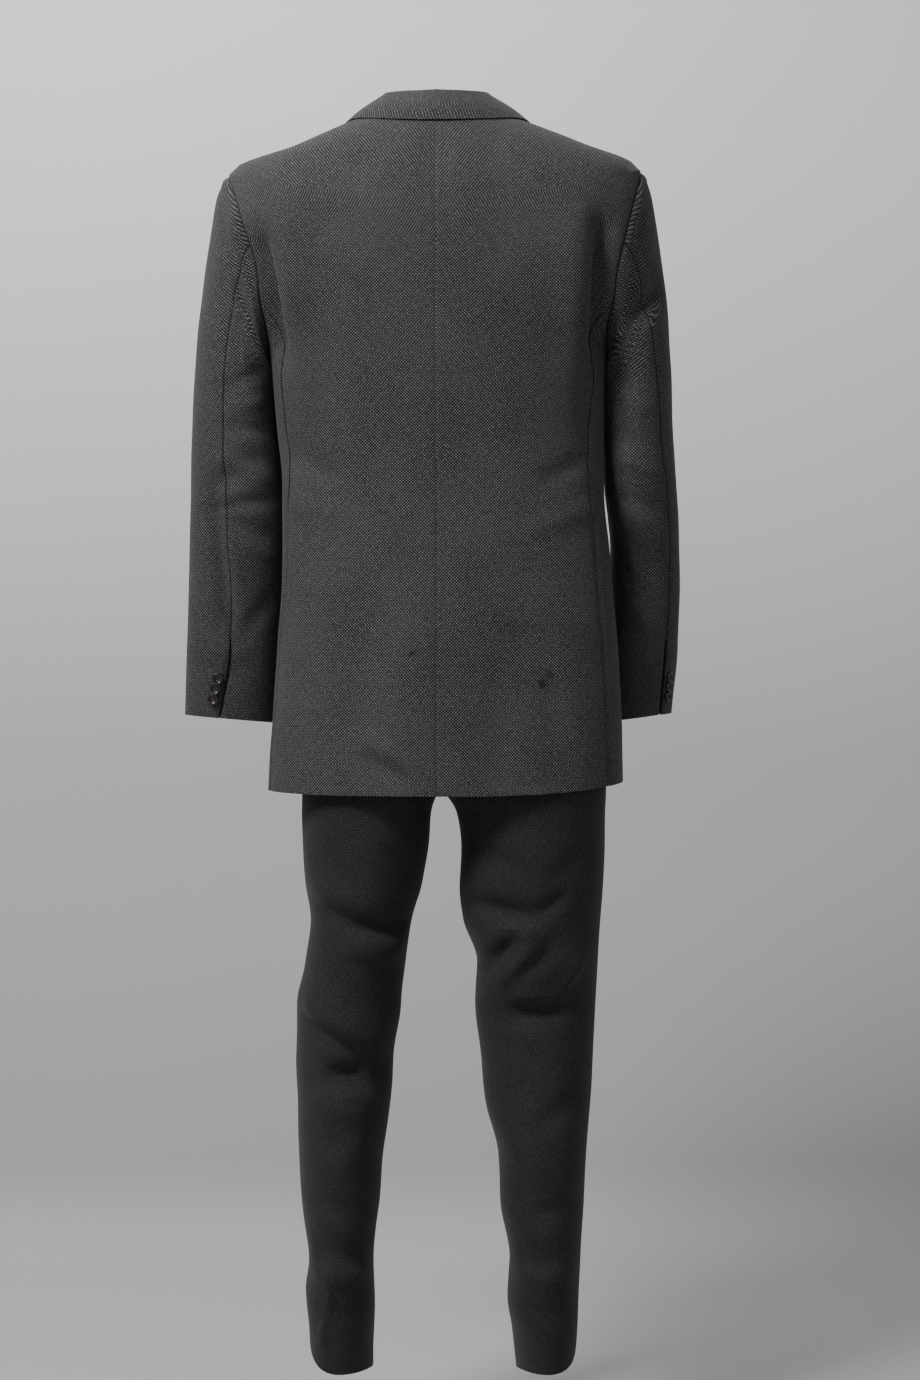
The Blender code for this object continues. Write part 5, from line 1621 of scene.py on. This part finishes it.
NEAR_EDGE = 0.93
STITCHES, THREADS = stitch_tree(), thread_tree()
edge_lines = []
for side in SIDES:
    rows = np.linspace(7.3, 9.9, 90)
    edge_lines.append(front_line(side, rows, along(BODY, "edge", rows) + 6, 0.12))
    rows = lapel_row(np.linspace(1.0, 6.9, 140), 0.92)
    inner = along(BODY, "edge", rows)
    x = inner + (along(BODY, "lapel", rows) - inner) * NEAR_EDGE
    edge_lines.append(front_line(side, rows, x, lapel_height(NEAR_EDGE) + 0.1))
pick = {"Stitch length": 0.0016, "Step": 0.0052, "Thread radius": 0.00022, "Thread": thread}
sewn("pick_stitches", edge_lines, STITCHES, pick)
sewn("button_threads", button_lines, THREADS,
     {"Thread radius": 0.00032, "Thread": button_thread})


# %% [markdown]
# A buttonhole is overcast along both its edges, and one curved row of stitches holds the fly. The
# overcast could be drawn as a stripe. A single thread that runs to and fro is what is really sewn.

# %% The buttonholes and the fly's stitching
def zigzag(start, end, out, wide, step):
    """Close stitches to and fro across a line, as an overcast buttonhole edge or a bar tack has."""
    run = end - start
    count = max(2, int(np.linalg.norm(run) / step))
    across = unit(np.cross(run, out)) * wide / 2
    shares = np.linspace(0, 1, count)[:, None]
    ways = np.where(np.arange(count) % 2 == 0, 1.0, -1.0)[:, None]
    return start + run * shares + across * ways


tack_lines = []
for row in FRONT_BUTTON_ROWS:
    at = np.array([row, row])
    turn = front_turn(at, np.array([-4.0, -14.0]), LEFT)
    ends = lifted(on_side(LEFT), turn, at, 0.25)
    out = normals(on_side(LEFT), turn, at)[0]
    for shift in (-0.9, 0.9):
        up = np.array([0, 0, shift])
        tack_lines.append(zigzag(ends[0] + up, ends[1] + up, out, 1.5, 0.35))
fly_rows = np.linspace(0.25, 2.75, 60)
fly_turn = 180 + rise_turn(fly_rows, True) - fly_reach(fly_rows, FLY_WIDE - 3)
fly_line = lifted(leg_surface(LEFT), fly_turn, fly_rows, CLEAR + THIN_WALL + 0.1)
sewn("buttonhole_stitches", tack_lines, THREADS,
     {"Thread radius": 0.0002, "Thread": thread})
close = {"Stitch length": 0.0024, "Step": 0.0034, "Thread radius": 0.0002, "Thread": thread}
sewn("fly_stitches", [fly_line], STITCHES, close)


# %% [markdown]
# The floor and wall are one pale sweep, as in a plain studio, so that no line crosses behind the
# suit. In the picture a soft key light stands high at the left, a weak one at the right fills the
# shadows, one lights the wall and one stands in front of the suit for views from there. One even
# glow from all round would be simpler, but it would hide the folds that the key light rakes across.

# %% Floor, light and camera
FLOOR_Z = -1.60
WALL_FOOT = -0.9
WALL_ROUND = 0.8


def studio_paper():
    """A sweep of matt paper, paler towards its top, where painted shade darkens its lower wall and
    floor.
    """
    material, tree, shader, place = new_material("matt_paper")
    tone = add_node(tree, "ShaderNodeTexNoise", Vector=place, Scale=1.2, Detail=1.0)
    pale = mixed(tree, tone.outputs[0], linear("#dfdee0"), linear("#e8e7e9"))
    height = add_node(tree, "ShaderNodeSeparateXYZ", Vector=place).outputs[2]
    # Painted shade: the wall darkens towards its foot and the floor more, where less light falls.
    colour = mixed(tree, ranged(tree, height, -1.9, 0.5), linear("#9b9a98"), pale)
    floor = ranged(tree, height, FLOOR_Z, FLOOR_Z + 0.12, 0.55, 0.0)
    colour = mixed(tree, floor, colour, linear("#cac8c4"))
    feed(tree, shader, Base_Color=colour, Roughness=0.95)
    # From behind, the wall lets the eye through, so that the suit's front can be looked at
    behind = add_node(tree, "ShaderNodeNewGeometry").outputs["Backfacing"]
    clear = add_node(tree, "ShaderNodeBsdfTransparent").outputs[0]
    both = add_node(tree, "ShaderNodeMixShader", i0=behind, i1=shader.outputs[0], i2=clear)
    feed(tree, tree.nodes["Material Output"], Surface=both.outputs[0])
    return material


profile = [(4.0, FLOOR_Z), (WALL_FOOT, FLOOR_Z)]
for a in np.linspace(0, pi / 2, 16)[1:]:
    up = WALL_ROUND - WALL_ROUND * np.cos(a)
    profile.append((WALL_FOOT - WALL_ROUND * np.sin(a), FLOOR_Z + up))
profile.append((WALL_FOOT - WALL_ROUND, 3.2))
corners = [(x, y, z) for y, z in profile for x in (-5.0, 5.0)]
faces = [(2 * i, 2 * i + 1, 2 * i + 3, 2 * i + 2) for i in range(len(profile) - 1)]
sweep_mesh = bpy.data.meshes.new("paper_sweep")
sweep_mesh.from_pydata(corners, [], [face[::-1] for face in faces])
sweep_mesh.shade_smooth()
sweep_mesh.materials.append(studio_paper())
sweep = placed("paper_sweep", sweep_mesh)


def soft_light(name, place, aim, wide, tall, power, colour):
    data = bpy.data.lights.new(name, "AREA")
    data.shape = "RECTANGLE"
    data.size, data.size_y, data.energy, data.color = wide, tall, power, colour
    item = placed(name, data)
    item.location = place
    item.rotation_euler = (Vector(aim) - Vector(place)).to_track_quat("-Z", "Y").to_euler()


soft_light("key_light", (1.5, 1.75, 1.6), (0, 0, -0.4), 0.9, 0.9, 118, (1.0, 0.995, 0.985))
soft_light("fill_light", (-2.4, 1.6, -0.1), (0, 0, -0.8), 1.2, 1.8, 6, (0.97, 0.98, 1.0))
soft_light("front_fill", (-1.2, -3.2, 0.6), (0, 0, -0.6), 1.5, 1.5, 40, (1.0, 1.0, 1.0))
soft_light("backdrop_light", (0.8, -0.5, 2.0), (0.3, -1.7, 0.8), 1.6, 0.8, 34, (0.98, 0.99, 1.0))
world = bpy.data.worlds.new("pale_room")
world.use_nodes = True
world.node_tree.nodes["Background"].inputs["Color"].default_value = linear("#e6e7ea")
world.node_tree.nodes["Background"].inputs["Strength"].default_value = 0.34
bpy.context.scene.world = world

CAMERA_PLACE = (-0.0274, 2.856, -0.676)
CAMERA_LENS = 62.61
lens = bpy.data.cameras.new("photo_camera")
lens.sensor_fit = "VERTICAL"
lens.sensor_height = 36
lens.lens = CAMERA_LENS
camera = placed("photo_camera", lens)
camera.location = CAMERA_PLACE
camera.rotation_euler = (pi / 2, 0, pi)
bpy.context.scene.camera = camera
